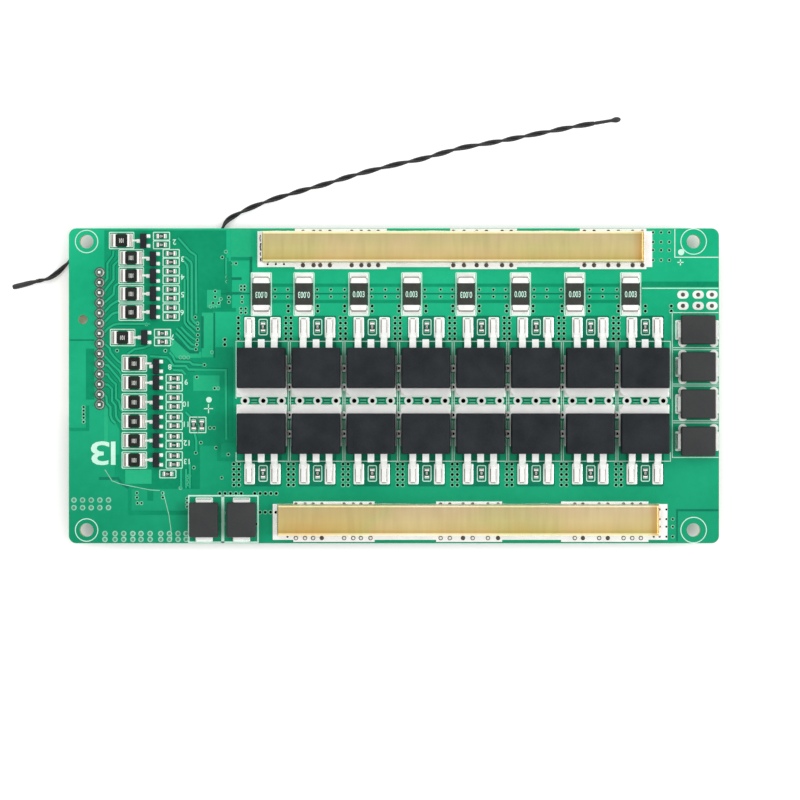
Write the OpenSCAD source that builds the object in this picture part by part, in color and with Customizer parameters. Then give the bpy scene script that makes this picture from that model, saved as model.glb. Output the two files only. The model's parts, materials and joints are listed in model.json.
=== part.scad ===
// Battery management board: a circuit board with two rows of eight power transistors, two brass
// busbars, current shunts, cell balancing channels, clamp diodes, a side-entry cell connector under
// its left edge and two temperature sensors on thin twisted leads.
// Millimetres. +X runs along the board, +Y across it, +Z up. Z = 0 is the surface it stands on.

/* [Board] */
// Length of the board
board_l = 128; // [126:1:150]
// Width of the board
board_w = 62; // [62:1:76]
// Thickness of the laminate
board_t = 1.6; // [1:0.1:2.4]
// Radius of the board's corners
corner_r = 1.5; // [0.5:0.1:2.4]
// Diameter of the corner screw holes
screw_hole_d = 2.7; // [2.2:0.1:3.2]
// From the left edge to the left screw holes
screw_inset_left = 3.5; // [3:0.1:4]
// From the right edge to the right screw holes
screw_inset_right = 5; // [4:0.1:6]
// From the long edges to the screw holes
screw_inset_side = 2.6; // [2.4:0.1:3]
// Diameter of the tooling hole at the left edge
tooling_hole_d = 1.8; // [1:0.1:2.2]
// Diameter of the small plated holes
via_d = 0.45; // [0.3:0.05:0.5]
// Diameter of the plated holes that carry current through the board
power_via_d = 0.6; // [0.4:0.05:0.7]

/* [Power transistors] */
// Distance between two neighbours in a row
transistor_pitch = 10.75; // [10.4:0.05:10.9]
// Width of the plastic body
transistor_w = 9.65; // [9:0.05:10]
// Length of the plastic body, from its tab end to its lead end
transistor_l = 8; // [7.6:0.1:8.4]
// Height of the plastic body
transistor_h = 4.4; // [3.8:0.1:4.8]
// How far the plastic's sides lean in
transistor_draft = 0.25; // [0.1:0.05:0.4]
// Clear strip between the bodies of the two rows
row_gap = 4.9; // [4.2:0.1:5.6]
// Thickness of the metal tab
tab_t = 1.27; // [1:0.01:1.5]
// How far the tab stands out of the plastic
tab_reach = 1.4; // [1:0.1:1.8]
// Thickness of the leads
lead_t = 0.5; // [0.4:0.05:0.6]
// Width of a lead's shoulder
lead_w = 1.3; // [1.1:0.05:1.5]
// Width of a lead's foot
lead_foot_w = 0.9; // [0.7:0.05:1.1]
// Distance between leads
lead_pitch = 2.54; // [2.3:0.01:2.8]
// How far the outer leads reach past the plastic
lead_reach = 5.6; // [5:0.1:5.9]

/* [Busbars] */
// Length of a busbar
bar_l = 75; // [70:1:75]
// Width of a busbar
bar_w = 6.1; // [5:0.1:6.2]
// Height of a busbar
bar_h = 2; // [1:0.1:3]
// Radius of a busbar's edges
bar_edge_r = 0.5; // [0.2:0.05:0.6]
// Thickness of the solder under a busbar
land_t = 0.15; // [0.1:0.05:0.3]
// From the rear edge of the board to the rear busbar
bar_inset_rear = 0.65; // [0.6:0.05:0.9]
// From the front edge of the board to the front busbar
bar_inset_front = 1.55; // [1.4:0.05:1.7]
// How far a land shows past both long sides of its busbar, taken together
land_margin = 0.95; // [0.8:0.05:1.1]

/* [Current shunts] */
// Length of a shunt with its terminals
shunt_l = 6.4; // [6:0.1:6.6]
// Width of a shunt
shunt_w = 3.4; // [3:0.05:3.6]
// Height of a shunt
shunt_h = 0.7; // [0.5:0.05:1]
// Length of each terminal
shunt_terminal_l = 1.05; // [0.8:0.05:1.4]

/* [Clamp diodes] */
// Length of a diode's plastic body
diode_l = 6.9; // [6.4:0.1:7]
// Width of a diode's plastic body
diode_w = 5.8; // [5.4:0.1:6]
// Height of a diode
diode_h = 2.4; // [2:0.1:2.8]
// Length over a diode's bent terminals
diode_span = 7.9; // [7.6:0.1:8]
// Width of a bent terminal
diode_terminal_w = 3; // [2.6:0.1:3.2]
// Thickness of a bent terminal
diode_terminal_t = 0.25; // [0.2:0.05:0.35]

/* [Balancing channels] */
// Length of a balancing resistor
balance_l = 3.2; // [3:0.1:3.4]
// Width of a balancing resistor
balance_w = 2.5; // [2.3:0.1:2.7]
// Height of a balancing resistor
balance_h = 0.6; // [0.45:0.05:0.8]
// Length of a small chip resistor
chip_l = 1.6; // [1.5:0.05:1.7]
// Width of a small chip resistor
chip_w = 0.8; // [0.7:0.05:0.9]
// Height of a small chip resistor
chip_h = 0.45; // [0.35:0.05:0.6]
// Length of a small transistor's body
small_transistor_l = 2.9; // [2.7:0.05:3]
// Width of a small transistor's body
small_transistor_w = 1.3; // [1.2:0.05:1.4]
// Height of a small transistor
small_transistor_h = 1.1; // [0.9:0.05:1.3]

/* [Cell connector] */
// Number of cell pins
pin_count = 14; // [8:1:14]
// Distance between pins
pin_pitch = 2; // [1.8:0.05:2]
// Thickness of the square pins
pin_t = 0.5; // [0.4:0.05:0.55]
// From the left edge of the board to the pins
pin_inset = 6.1; // [5.9:0.1:6.4]
// Height of the housing, which the board stands on
housing_h = 4.8; // [4.4:0.1:6]
// Depth of the housing, from its mouth at the board's edge to its back
housing_depth = 7.6; // [7.4:0.1:8]
// Thickness of the housing's end walls
housing_wall = 0.95; // [0.6:0.05:1.2]
// Height of a pin's tip above the board
pin_tail = 1.3; // [1:0.1:1.8]

/* [Controllers] */
// Length of a controller's body
controller_l = 6.5; // [6:0.1:7]
// Width of a controller's body
controller_w = 4.4; // [4:0.1:4.8]
// Height of a controller
controller_h = 1.1; // [0.9:0.05:1.3]
// Distance between a controller's leads
controller_pitch = 0.65; // [0.6:0.01:0.66]

/* [Sensor leads] */
// Thickness of a twisted sensor lead
sensor_lead_d = 1.1; // [0.9:0.05:1.1]
// Length of a sensor's sleeve
sensor_tip_l = 5.4; // [4:0.1:8]

/* [Hidden] */
$fn = 24;

// Edges and levels
left_x = -board_l / 2;
right_x = board_l / 2;
rear_y = board_w / 2;
front_y = -board_w / 2;
under_z = housing_h;
top_z = under_z + board_t;
over = 1; // how far a cutting shape runs past what it cuts

// Power transistor rows, placed from the middle of the strip between their tabs
row_size = 8;
row_mid_y = -2.95;
row_first_x = -26;
function row_x(i) = row_first_x + (i - 1) * transistor_pitch;
parting_z = 2.5;
lead_top_z = 2.75;
lead_inside = 0.8; // the stretch of a lead that the plastic holds
spreader_w = 8; // the tab's width under the plastic
spreader_l = 6.6;
tab_corner = 0.7;
centre_lead_reach = 1.6; // the middle lead is cut short
rear_feet_y = row_mid_y + row_gap / 2 + transistor_l + lead_reach; // where the rear feet end

// Busbars and the tinned lands under them. A land's middle lies to the right and to the front of
// its bar's middle, by the same distance.
land_shift = 0.4;
land_ends = 2.7; // how far a land shows past both ends of its bar, taken together
land_step_rear = 0.5; // the steps widen the land to the rear
land_step_front = 0.4; // and to the front
rear_bar_x = 11.6;
front_bar_x = 14.6;
rear_bar_y = rear_y - bar_inset_rear - bar_w / 2;
front_bar_y = front_y + bar_inset_front + bar_w / 2;
rear_land_x = rear_bar_x + land_shift;
rear_land_y = rear_bar_y - land_shift;
front_land_x = front_bar_x + land_shift;
front_land_y = front_bar_y - land_shift;
land_l = bar_l + land_ends;
land_w = bar_w + land_margin;
rear_land_steps = [[-19.5, -1.4], [11.1, 24.2], [36.6, 49.7]];
front_land_steps = [[-19.8, -3.8], [8.3, 21.3], [32.9, 50.1]];
bar_hole_d = 0.75;
bar_hole_in = 0.2; // from a land's long sides to the two rows of holes along them
bar_hole_shift = 0.15; // both rows lie this far to the rear of the land's middle
rear_hole_x = [-17.9, -15.8, -14.5, -12.6, -8.3, -6.4, -4.9, -3.1, 11.7, 13.8, 16.3, 18.2, 21.3,
    23.1, 37.5, 39.4, 42.2, 44.2, 47, 48.9];
front_hole_x = [-19.3, -17.5, -15.9, -14.2, -9.8, -8, -6.5, -4.6, 9.2, 11, 13.6, 15.5, 18.5, 20.5,
    35.6, 37.2, 40.4, 42.1, 45.2, 46.9, 48.6];

// Shunts, about midway between the rear transistors' feet and the rear busbar's land
shunt_y = (rear_feet_y + rear_land_y - land_w / 2 - land_step_front) / 2;
shunt_x = [-26.1, -17.7, -6.9, 3.5, 14.2, 24.9, 35.6, 46.6];
shunt_terminal_w = shunt_w - 0.35;

// Clamp diodes lie along X beside the last transistors; the two input diodes lie along Y in line
// with the front busbar
last_transistor_end = row_x(row_size) + transistor_w / 2;
clamp_gap = max(0.5, min(1.775, right_x - 0.25 - diode_span - last_transistor_end));
clamp_diode_x = last_transistor_end + clamp_gap + diode_span / 2;
clamp_diode_y = [11, 3.7, -3.6, -10.9];
input_gap = 4.2; // from the front busbar's end to the nearer input diode
input_pitch = 7.35;
input_diode_last_x = front_bar_x - bar_l / 2 - input_gap - diode_w / 2;
input_diode_x = [input_diode_last_x - input_pitch, input_diode_last_x];
input_diode_y = front_y + 4.65;
diode_under = 1.3; // a terminal folds this far under the body
diode_exit_z = 1.35;

// Balancing channels: [distance of the resistor from the left edge, its place along Y,
// how far its transistor sits from that line]
channels = [[10.4, 28.6, -0.1], [12.3, 25.2, -0.2], [12.3, 21.7, -0.1], [12.3, 18.1, 0],
    [12.3, 14.5, 0], [10.6, 9.5, 0], [12.9, 4.4, -0.6], [12.9, 0.6, 0], [12.9, -3.2, -0.1],
    [12.9, -7, -0.1], [12.9, -10.8, 0], [12.9, -14.6, 0]];
channel_without_chips = 6;
small_transistor_dx = 4.3;
chip_dx = 7.85;
chip_dy = 0.85;
balance_cap_l = 0.6;
chip_cap_l = 0.3;
cap_t = 0.05; // thickness of the metal over a chip's end
small_lead_w = 0.45;
small_lead_t = 0.12;
small_lead_y = 0.95;
small_lead_reach = 0.55;
// Chips away from the channels: [from the left edge, Y, turned to lie along Y]
other_chips = [[19.5, -17.35, 0], [24.6, -7.7, 1], [26.2, -7.7, 1]];
gate_chip_dx = 0.25;
gate_chip_out = 3.95; // from the plastic's lead end to the gate resistor's middle

// Cell connector
pin_row_y = 9.3;
pin_x = left_x + pin_inset;
pin_level = under_z - 2.4; // height of the pins in the housing's mouth
pin_inside_l = 3.4; // how far the pins stand into the mouth
pin_hole_d = 0.8;
solder_base_r = 0.85;
solder_top_r = 0.36;
solder_h = 0.95;
housing_l = (pin_count - 1) * pin_pitch + 3.9;
housing_roof = 0.75;
housing_floor = 0.6;
cavity_depth = 5;
leg_slot_w = 0.8;
key_slot_w = 1.4;
key_slot_l = 2.6;
function pin_y(i) = pin_row_y + ((pin_count - 1) / 2 - i) * pin_pitch;

// Controllers under the board: [from the left edge, Y]
controller_places = [[25.4, 10.3], [24.2, -15.4]];
controller_leads_a_side = 10;
controller_lead_w = 0.24;
controller_lead_t = 0.12;
controller_lead_reach = 1;
controller_rise = 0.1;

// Plated holes, placed by hand. In the left block they are [from the left edge, Y].
left_vias = [[24.9, 13.5], [25.3, 12.3], [25.4, 11.2], [25.4, 10], [25.3, 9], [25.2, 8.1], [25, 7.2],
    [28.2, 6.6], [20.1, 9.1], [20.2, 8.3], [15.3, 12.1], [19, 6.9], [9.5, 6.9], [22, 5.6], [22.7, 5.6],
    [23.5, 5.6], [26.7, 4.1], [25.2, 1.7], [28.7, -0.5], [29.4, -0.5], [27.8, -8.3], [28.6, -8.3],
    [26, -11.2], [29, -12.2], [31.4, -13.5], [25, -13.2], [24.6, -16.1], [30.1, -18.1],
    [23.7, -17.7], [23.6, -18.5], [23.6, -19.4], [22, -20.1], [31.2, 21.4], [31.2, 20.5],
    [28.8, 18.6], [28.8, 17.5], [29.9, 17.1], [28.4, 16.3], [29.5, 16.3], [27.9, 15.6], [28.8, 15.5],
    [31.5, 17.4], [31.5, 16.5], [34.1, 17.5], [34.1, 16.5], [33.9, 19.6], [34.6, 19.6],
    [33.9, 18.9], [34.6, 18.9], [33.9, 15.2], [34.8, 15.2], [33.9, 14.4], [34.8, 14.4],
    [32, 24.1], [32.9, 24.1], [30.9, 26.4], [30.2, 25.3], [13.4, -21.1], [13.4, -22],
    [13.5, -23.1], [14.3, -23.1], [18.5, -21.1], [18.5, -22], [23.3, -22.2], [23.3, -23],
    [23.3, -23.8], [2.9, -4.2], [2.9, -4.9], [2.9, -5.6], [2.9, -6.3], [2.9, -7.1]];
left_power_vias = concat([[30.7, 9.1], [30.7, 8.1], [30.4, -25], [30.4, -27.2], [37, -27.2]],
    [for (i = [0:4]) each [[29.7 + i * 1.06, -21.2], [36.6 + i * 1.06, -21.2]]],
    [for (i = [0:3]) [37.6 + i * 1.06, -24.9]]);
filled_hole_d = 0.6;
filled_holes = concat([for (i = [0:4], j = [0:1]) [1 + i * 1.7, -22.5 - j * 1.5]],
    [for (x = [7.1, 9.1, 10.8, 12.6, 14.2, 16, 18.1, 19.8, 21.5, 23.1], j = [0:1])
        [x, front_y + 1.9 - j * 1.15]]);
tooling_hole = [2.8, 13.05];

// Holes of the power section, from the board's middle
strip_hole_d = 0.9;
strip_hole_pitch = 3.58;
strip_hole_first_x = -29.3;
strip_hole_count = 24;
shunt_via_x = [-20.8, -15, -9.7, -4.3, 1, 6.3, 11.6, 16.8, 22.2, 27.4, 33.1, 38.4, 44.2, 49.5, 54.6];
sense_via_x = [-23.4, -20.9, -15.1, -12.4, -9.7, -4.4, -1.7, 0.8, 6.1, 9.2, 11.5, 16.8, 19.6, 22,
    27.6, 30.1, 32.9, 38.5, 41.1, 43.9];
grid_step = 1.03;
output_hole_d = 0.85;
output_holes = [for (x = [-7.1, -4.1, -1.4], y = [-0.1, -2.3]) [right_x + x, shunt_y + y]];
diode_hole_d = 0.7;
diode_hole_off = 1.15; // each side of the line midway between two clamp diodes
diode_holes = [for (x = [-2.95, 3.2], i = [0:len(clamp_diode_y) - 2], side = [1, -1])
    [clamp_diode_x + x, (clamp_diode_y[i] + clamp_diode_y[i + 1]) / 2 + side * diode_hole_off]];

// Routes of the sensor leads: out of the board's underside, down to the surface, then along it
lead_low = 0.56;
long_route = [[-33.4, 25.9, 4.8], [-33.4, 25.95, 4.1], [-33.5, 26.4, 3.2], [-33.7, 27.4, 2.3],
    [-34, 28.7, 1.5], [-34.2, 30, 0.95], [-34, 31.5, 0.65], [-33.1, 32.9, lead_low],
    [-31.4, 34, lead_low], [-29.2, 35.1, lead_low], [-26.8, 36.1, lead_low],
    [-24, 37.1, lead_low], [-20.8, 38.1, lead_low], [-17.4, 39.1, lead_low],
    [-13.7, 40.1, lead_low], [-9.9, 41.3, lead_low], [-6.1, 42.4, lead_low],
    [-2.2, 43.4, lead_low], [1.6, 44.3, lead_low], [5.4, 45.1, lead_low], [9.3, 46.2, lead_low],
    [13.3, 47.3, lead_low], [17.3, 48, lead_low], [21.2, 48.7, lead_low], [24.8, 49.4, lead_low],
    [28.3, 50.1, lead_low], [31.5, 50.7, lead_low], [34.5, 51.3, lead_low],
    [37.3, 51.8, lead_low], [39.8, 52.2, lead_low]];
short_route = [[-31.5, 24.2, 4.8], [-31.6, 24.2, 4.1], [-32.1, 24.2, 3.1], [-33.1, 24.25, 2.1],
    [-34.4, 24.4, 1.3], [-36, 24.6, 0.8], [-38, 24.9, lead_low], [-41, 25.4, lead_low],
    [-44, 25.9, lead_low], [-47, 26.3, lead_low], [-50, 26.6, lead_low], [-53, 26.8, lead_low],
    [-56, 26.9, lead_low], [-58.8, 26.9, lead_low], [-61.2, 26.6, lead_low],
    [-63.2, 25.8, lead_low], [-65, 24.3, lead_low], [-66.8, 22.6, lead_low],
    [-68.6, 21.4, lead_low], [-70.6, 20.9, lead_low]];
tip_neck_r = 0.4;
short_tip_r = 0.55;
long_tip_r = 0.62;

// ---- Shared shapes ----

// A rectangle with true round corners
module rounded_rect(l, w, r) {
    square([l - 2 * r, w], center = true);
    square([l, w - 2 * r], center = true);
    for (x = [-1, 1], y = [-1, 1])
        translate([x * (l / 2 - r), y * (w / 2 - r)])
            circle(r);
}

// One view of a moulded body: widest at its parting line
module draft_outline(w, z0, z1, parting, draft) {
    polygon([[-w / 2 + draft, z0], [w / 2 - draft, z0], [w / 2, parting],
        [w / 2 - draft, z1], [-w / 2 + draft, z1], [-w / 2, parting]]);
}

// A moulded body, w along X and l along Y, with leaning sides
module moulded_body(w, l, z0, z1, parting, draft) {
    intersection() {
        rotate([90, 0, 0])
            linear_extrude(l, center = true)
                draft_outline(w, z0, z1, parting, draft);
        rotate([90, 0, 90])
            linear_extrude(w, center = true)
                draft_outline(l, z0, z1, parting, draft);
    }
}

// A bent lead that leaves its body at y = 0 and lands on its foot at y = reach
module bent_lead(w, t, top, inside, shoulder, slope, reach) {
    lean = t * 0.6;
    rotate([90, 0, 90])
        linear_extrude(w, center = true)
            polygon([[-inside, top - t], [shoulder - lean, top - t], [shoulder + slope - lean, 0],
                [reach, 0], [reach, t], [shoulder + slope, t], [shoulder, top], [-inside, top]]);
}

// A metal cap folded over one end of a chip, along +X
module chip_cap(w, h, cap) {
    difference() {
        translate([-cap, -w / 2, 0])
            cube([cap, w, h]);
        translate([-cap - over, -w / 2 - over, cap_t])
            cube([cap + over - cap_t, w + 2 * over, h - 2 * cap_t]);
    }
}

// Both caps of a chip
module chip_caps(l, w, h, cap) {
    for (turn = [0, 180])
        rotate([0, 0, turn])
            translate([l / 2, 0, 0])
                chip_cap(w, h, cap);
}

// The ceramic body of a chip, let in under its caps
module chip_body(l, w, h, cap) {
    difference() {
        translate([-l / 2, -w / 2, 0])
            cube([l, w, h]);
        chip_caps(l, w, h, cap);
    }
}

// ---- Board ----

module holes_at(places, d) {
    for (p = places)
        translate([p[0], p[1]])
            circle(d / 2);
}

function from_left(places) = [for (p = places) [left_x + p[0], p[1]]];

screw_holes = [for (x = [left_x + screw_inset_left, right_x - screw_inset_right],
    y = [front_y + screw_inset_side, rear_y - screw_inset_side]) [x, y]];

// Two columns of five power holes beside each transistor's leads
function via_grid(x, y) = [for (i = [0:4], side = [-0.5, 0.5]) [x + side, y + i * grid_step]];

grid_y_rear = row_mid_y + row_gap / 2 + transistor_l + 1.75;
grid_y_front = row_mid_y - row_gap / 2 - transistor_l - 2 - 4 * grid_step;
power_grids = concat(
    [for (i = [1:row_size - 1]) each via_grid(row_x(i + 0.5) - 0.15, grid_y_rear)],
    [for (i = [0:row_size - 1]) each via_grid(row_x(i + 0.5) + 0.35, grid_y_front)],
    [for (i = [0:4]) [row_x(0.5) + 0.75, grid_y_rear + i * grid_step]]);
// Pairs of holes in the gaps between neighbouring transistors
gap_vias = [for (i = [1:row_size - 1], row = [1, -1], out = [0.3, 4], side = [-0.8, 0.05])
    [row_x(i + 0.5) + side, row_mid_y + row * (row_gap / 2 + out) - 0.05]];
strip_holes = [for (i = [0:strip_hole_count - 1])
    [strip_hole_first_x + i * strip_hole_pitch, row_mid_y]];
function bar_holes(places, y) = [for (x = places, side = [1, -1])
    [x, y + bar_hole_shift + side * (land_w / 2 - bar_hole_in)]];
rear_bar_holes = bar_holes(rear_hole_x, rear_land_y);
front_bar_holes = bar_holes(front_hole_x, front_land_y);
// Small holes in and beside the ends of the lands
rear_land_vias = concat(
    [for (x = [0.15, 1.75, 3.35], y = [-2.15, -0.2, 1.4, 3.3])
        [rear_land_x + land_l / 2 + x, rear_land_y + y]],
    [for (x = [2, 3.6, 5.2]) [rear_land_x - land_l / 2 + x, rear_land_y - 2.95]]);
front_land_vias = concat(
    [for (x = [-1.55, -0.2, 1.05], y = [-2.9, -0.95, 0.55, 2.45])
        if (x < 0 || y < 2) [front_land_x + land_l / 2 + x, front_land_y + y]],
    [for (x = [2.9, land_l - 2.7]) [front_land_x - land_l / 2 + x, front_land_y - 2.9]]);

module circuit_board() {
    color("seagreen")
        translate([0, 0, under_z])
            linear_extrude(board_t)
                difference() {
                    rounded_rect(board_l, board_w, corner_r);
                    holes_at(screw_holes, screw_hole_d, $fn = 48);
                    holes_at(from_left([tooling_hole]), tooling_hole_d);
                    holes_at([for (i = [0:pin_count - 1]) [pin_x, pin_y(i)]], pin_hole_d);
                    holes_at(from_left(left_vias), via_d);
                    holes_at(from_left(left_power_vias), power_via_d);
                    holes_at(from_left(filled_holes), filled_hole_d);
                    holes_at(power_grids, power_via_d);
                    holes_at(gap_vias, power_via_d);
                    holes_at(strip_holes, strip_hole_d);
                    holes_at([for (x = shunt_via_x, y = [1.6, 2.6]) [x, rear_feet_y + y]], power_via_d);
                    holes_at([for (x = sense_via_x, y = [-0.5, 0.9]) [x, shunt_y + y]], via_d);
                    holes_at(output_holes, output_hole_d);
                    holes_at(diode_holes, diode_hole_d);
                    holes_at(rear_land_vias, via_d);
                    holes_at(front_land_vias, via_d);
                    holes_at(rear_bar_holes, bar_hole_d);
                    holes_at(front_bar_holes, bar_hole_d);
                }
}

// ---- Busbars ----

// The tinned land that a busbar is soldered to, wider at its steps
module solder_land(x, y, steps, holes, small_holes) {
    color("gainsboro")
        translate([0, 0, top_z])
            linear_extrude(land_t)
                difference() {
                    union() {
                        translate([x, y])
                            square([land_l, land_w], center = true);
                        for (s = steps)
                            translate([s[0], y - land_w / 2 - land_step_front])
                                square([s[1] - s[0], land_w + land_step_front + land_step_rear]);
                    }
                    holes_at(holes, bar_hole_d);
                    holes_at(small_holes, via_d);
                    holes_at(from_left(left_power_vias), power_via_d);
                }
}

module rear_solder_land() {
    solder_land(rear_land_x, rear_land_y, rear_land_steps, rear_bar_holes, rear_land_vias);
}

module front_solder_land() {
    solder_land(front_land_x, front_land_y, front_land_steps, front_bar_holes, front_land_vias);
}

// A drawn brass bar with rounded edges on all sides
module busbar(x, y) {
    color("burlywood")
        translate([x, y, top_z + land_t + bar_h / 2])
            intersection() {
                rotate([90, 0, 90])
                    linear_extrude(bar_l, center = true)
                        rounded_rect(bar_w, bar_h, bar_edge_r);
                rotate([90, 0, 0])
                    linear_extrude(bar_w, center = true)
                        rounded_rect(bar_l, bar_h, bar_edge_r);
            }
}

module rear_busbar() {
    busbar(rear_bar_x, rear_bar_y);
}

module front_busbar() {
    busbar(front_bar_x, front_bar_y);
}

// ---- Power transistors ----
// Each is drawn with its tab end at y = 0 and its leads towards +Y.

module transistor_tab() {
    linear_extrude(tab_t)
        union() {
            polygon([[-transistor_w / 2, 0.4], [-transistor_w / 2, tab_corner - tab_reach],
                [-transistor_w / 2 + tab_corner, -tab_reach],
                [transistor_w / 2 - tab_corner, -tab_reach],
                [transistor_w / 2, tab_corner - tab_reach], [transistor_w / 2, 0.4]]);
            translate([-spreader_w / 2, -0.1])
                square([spreader_w, spreader_l]);
        }
}

// An outer lead, wide at its shoulder and narrower along its foot
module outer_lead() {
    neck_y = 2.2;
    translate([0, transistor_l, 0])
        intersection() {
            bent_lead(lead_w, lead_t, lead_top_z, lead_inside + transistor_draft, 1.4, 0.9, lead_reach);
            translate([0, 0, -over])
                linear_extrude(lead_top_z + 2 * over)
                    polygon([[-lead_w / 2, -3], [lead_w / 2, -3], [lead_w / 2, neck_y],
                        [lead_foot_w / 2, neck_y + 0.3], [lead_foot_w / 2, lead_reach + over],
                        [-lead_foot_w / 2, lead_reach + over], [-lead_foot_w / 2, neck_y + 0.3],
                        [-lead_w / 2, neck_y]]);
        }
}

module centre_lead() {
    translate([-lead_w / 2, transistor_l - lead_inside - transistor_draft, lead_top_z - lead_t])
        cube([lead_w, centre_lead_reach + lead_inside + transistor_draft, lead_t]);
}

module transistor_metal() {
    transistor_tab();
    centre_lead();
    for (side = [-1, 1])
        translate([side * lead_pitch, 0, 0])
            outer_lead();
}

module transistor_plastic() {
    difference() {
        translate([0, transistor_l / 2, 0])
            moulded_body(transistor_w, transistor_l, 0, transistor_h, parting_z, transistor_draft);
        transistor_metal();
        // the mark of the mould's ejector pin
        translate([-transistor_w / 2 + 2, transistor_l - 2, transistor_h - 0.08])
            cylinder(d = 1.5, h = over);
    }
}

module place_rear(i) {
    translate([row_x(i), row_mid_y + row_gap / 2, top_z])
        children();
}

module place_front(i) {
    translate([row_x(i), row_mid_y - row_gap / 2, top_z])
        rotate([0, 0, 180])
            children();
}

module mosfet_rear(i) {
    color("#26282e")
        place_rear(i)
            transistor_plastic();
}

module mosfet_front(i) {
    color("#26282e")
        place_front(i)
            transistor_plastic();
}

module rear_mosfet_leads() {
    color("silver")
        for (i = [1:row_size])
            place_rear(i)
                transistor_metal();
}

module front_mosfet_leads() {
    color("silver")
        for (i = [1:row_size])
            place_front(i)
                transistor_metal();
}

// ---- Current shunts ----

module shunt_resistor(i) {
    color("#2b2b2e")
        translate([shunt_x[i - 1], shunt_y, top_z + shunt_h / 2])
            cube([shunt_w, shunt_l - 2 * shunt_terminal_l, shunt_h], center = true);
}

module shunt_terminals() {
    color("silver")
        for (x = shunt_x, turn = [0, 180])
            translate([x, shunt_y, top_z])
                rotate([0, 0, turn])
                    translate([0, shunt_l / 2 - shunt_terminal_l, 0])
                        linear_extrude(shunt_h - 0.05)
                            intersection() {
                                translate([-shunt_terminal_w / 2, 0])
                                    square([shunt_terminal_w, shunt_terminal_l]);
                                rounded_rect(shunt_terminal_w, 2 * shunt_terminal_l, 0.4);
                            }
}

// ---- Diodes ----
// Each is drawn lying along X on its folded terminals.

module diode_terminal() {
    t = diode_terminal_t;
    end = diode_span / 2;
    body = diode_l / 2;
    rotate([90, 0, 0])
        linear_extrude(diode_terminal_w, center = true)
            polygon([[body - diode_under, 0], [end, 0], [end, diode_exit_z], [body - 0.6, diode_exit_z],
                [body - 0.6, diode_exit_z - t], [end - t, diode_exit_z - t], [end - t, t],
                [body - diode_under, t]]);
}

module diode_metal() {
    for (turn = [0, 180])
        rotate([0, 0, turn])
            diode_terminal();
}

module diode_plastic() {
    difference() {
        moulded_body(diode_l, diode_w, diode_terminal_t, diode_h, diode_exit_z, 0.15);
        diode_metal();
    }
}

module place_clamp_diode(i) {
    translate([clamp_diode_x, clamp_diode_y[i - 1], top_z])
        children();
}

module place_input_diode(i) {
    translate([input_diode_x[i - 1], input_diode_y, top_z])
        rotate([0, 0, 90])
            children();
}

module clamp_diode(i) {
    color("#2d2f33")
        place_clamp_diode(i)
            diode_plastic();
}

module input_diode(i) {
    color("#2d2f33")
        place_input_diode(i)
            diode_plastic();
}

module diode_terminals() {
    color("silver") {
        for (i = [1:len(clamp_diode_y)])
            place_clamp_diode(i)
                diode_metal();
        for (i = [1:len(input_diode_x)])
            place_input_diode(i)
                diode_metal();
    }
}

// ---- Balancing channels ----

module at_channels() {
    for (c = channels)
        translate([left_x + c[0], c[1], top_z])
            children();
}

module at_small_transistors() {
    for (c = channels)
        translate([left_x + c[0] + small_transistor_dx, c[1] + c[2], top_z])
            children();
}

module at_chips() {
    for (i = [0:len(channels) - 1], side = [-1, 1])
        if (i != channel_without_chips)
            translate([left_x + channels[i][0] + chip_dx, channels[i][1] + side * chip_dy, top_z])
                children();
    for (c = other_chips)
        translate([left_x + c[0], c[1], top_z])
            rotate([0, 0, 90 * c[2]])
                children();
}

module at_gate_chips() {
    out = row_gap / 2 + transistor_l + gate_chip_out;
    for (i = [1:row_size], side = [-1, 1])
        translate([row_x(i) + gate_chip_dx, row_mid_y + side * out + 0.1, top_z])
            rotate([0, 0, 90])
                children();
}

module balance_resistors() {
    color("#1d1f1e")
        at_channels()
            chip_body(balance_l, balance_w, balance_h, balance_cap_l);
}

module balance_resistor_caps() {
    color("silver")
        at_channels()
            chip_caps(balance_l, balance_w, balance_h, balance_cap_l);
}

module small_transistor_metal() {
    exit_z = small_transistor_h * 0.55;
    for (p = [[-1, 0], [1, -small_lead_y], [1, small_lead_y]])
        translate([p[0] * small_transistor_w / 2, p[1], 0])
            rotate([0, 0, -p[0] * 90])
                bent_lead(small_lead_w, small_lead_t, exit_z, 0.25, 0.12, 0.08, small_lead_reach);
}

module small_transistor_plastic() {
    difference() {
        moulded_body(small_transistor_w, small_transistor_l, 0.08, small_transistor_h,
            small_transistor_h * 0.5, 0.08);
        small_transistor_metal();
    }
}

module balance_transistors() {
    color("#1b1c1f")
        at_small_transistors()
            small_transistor_plastic();
}

module balance_transistor_leads() {
    color("silver")
        at_small_transistors()
            small_transistor_metal();
}

module chip_resistors() {
    color("#2a2c2b")
        at_chips()
            chip_body(chip_l, chip_w, chip_h, chip_cap_l);
}

module chip_resistor_caps() {
    color("silver")
        at_chips()
            chip_caps(chip_l, chip_w, chip_h, chip_cap_l);
}

module gate_resistors() {
    color("#2a2c2b")
        at_gate_chips()
            chip_body(chip_l, chip_w, chip_h, chip_cap_l);
}

module gate_resistor_caps() {
    color("silver")
        at_gate_chips()
            chip_caps(chip_l, chip_w, chip_h, chip_cap_l);
}

// ---- Cell connector ----

// Pins that run through the board, bend and stand into the housing's mouth
module cell_connector_pins() {
    color("silver")
        for (i = [0:pin_count - 1])
            translate([pin_x, pin_y(i), 0]) {
                translate([-pin_t / 2, -pin_t / 2, pin_level - pin_t / 2])
                    cube([pin_t, pin_t, top_z + pin_tail - pin_level + pin_t / 2]);
                translate([-pin_inside_l, -pin_t / 2, pin_level - pin_t / 2])
                    cube([pin_inside_l, pin_t, pin_t]);
            }
}

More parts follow.
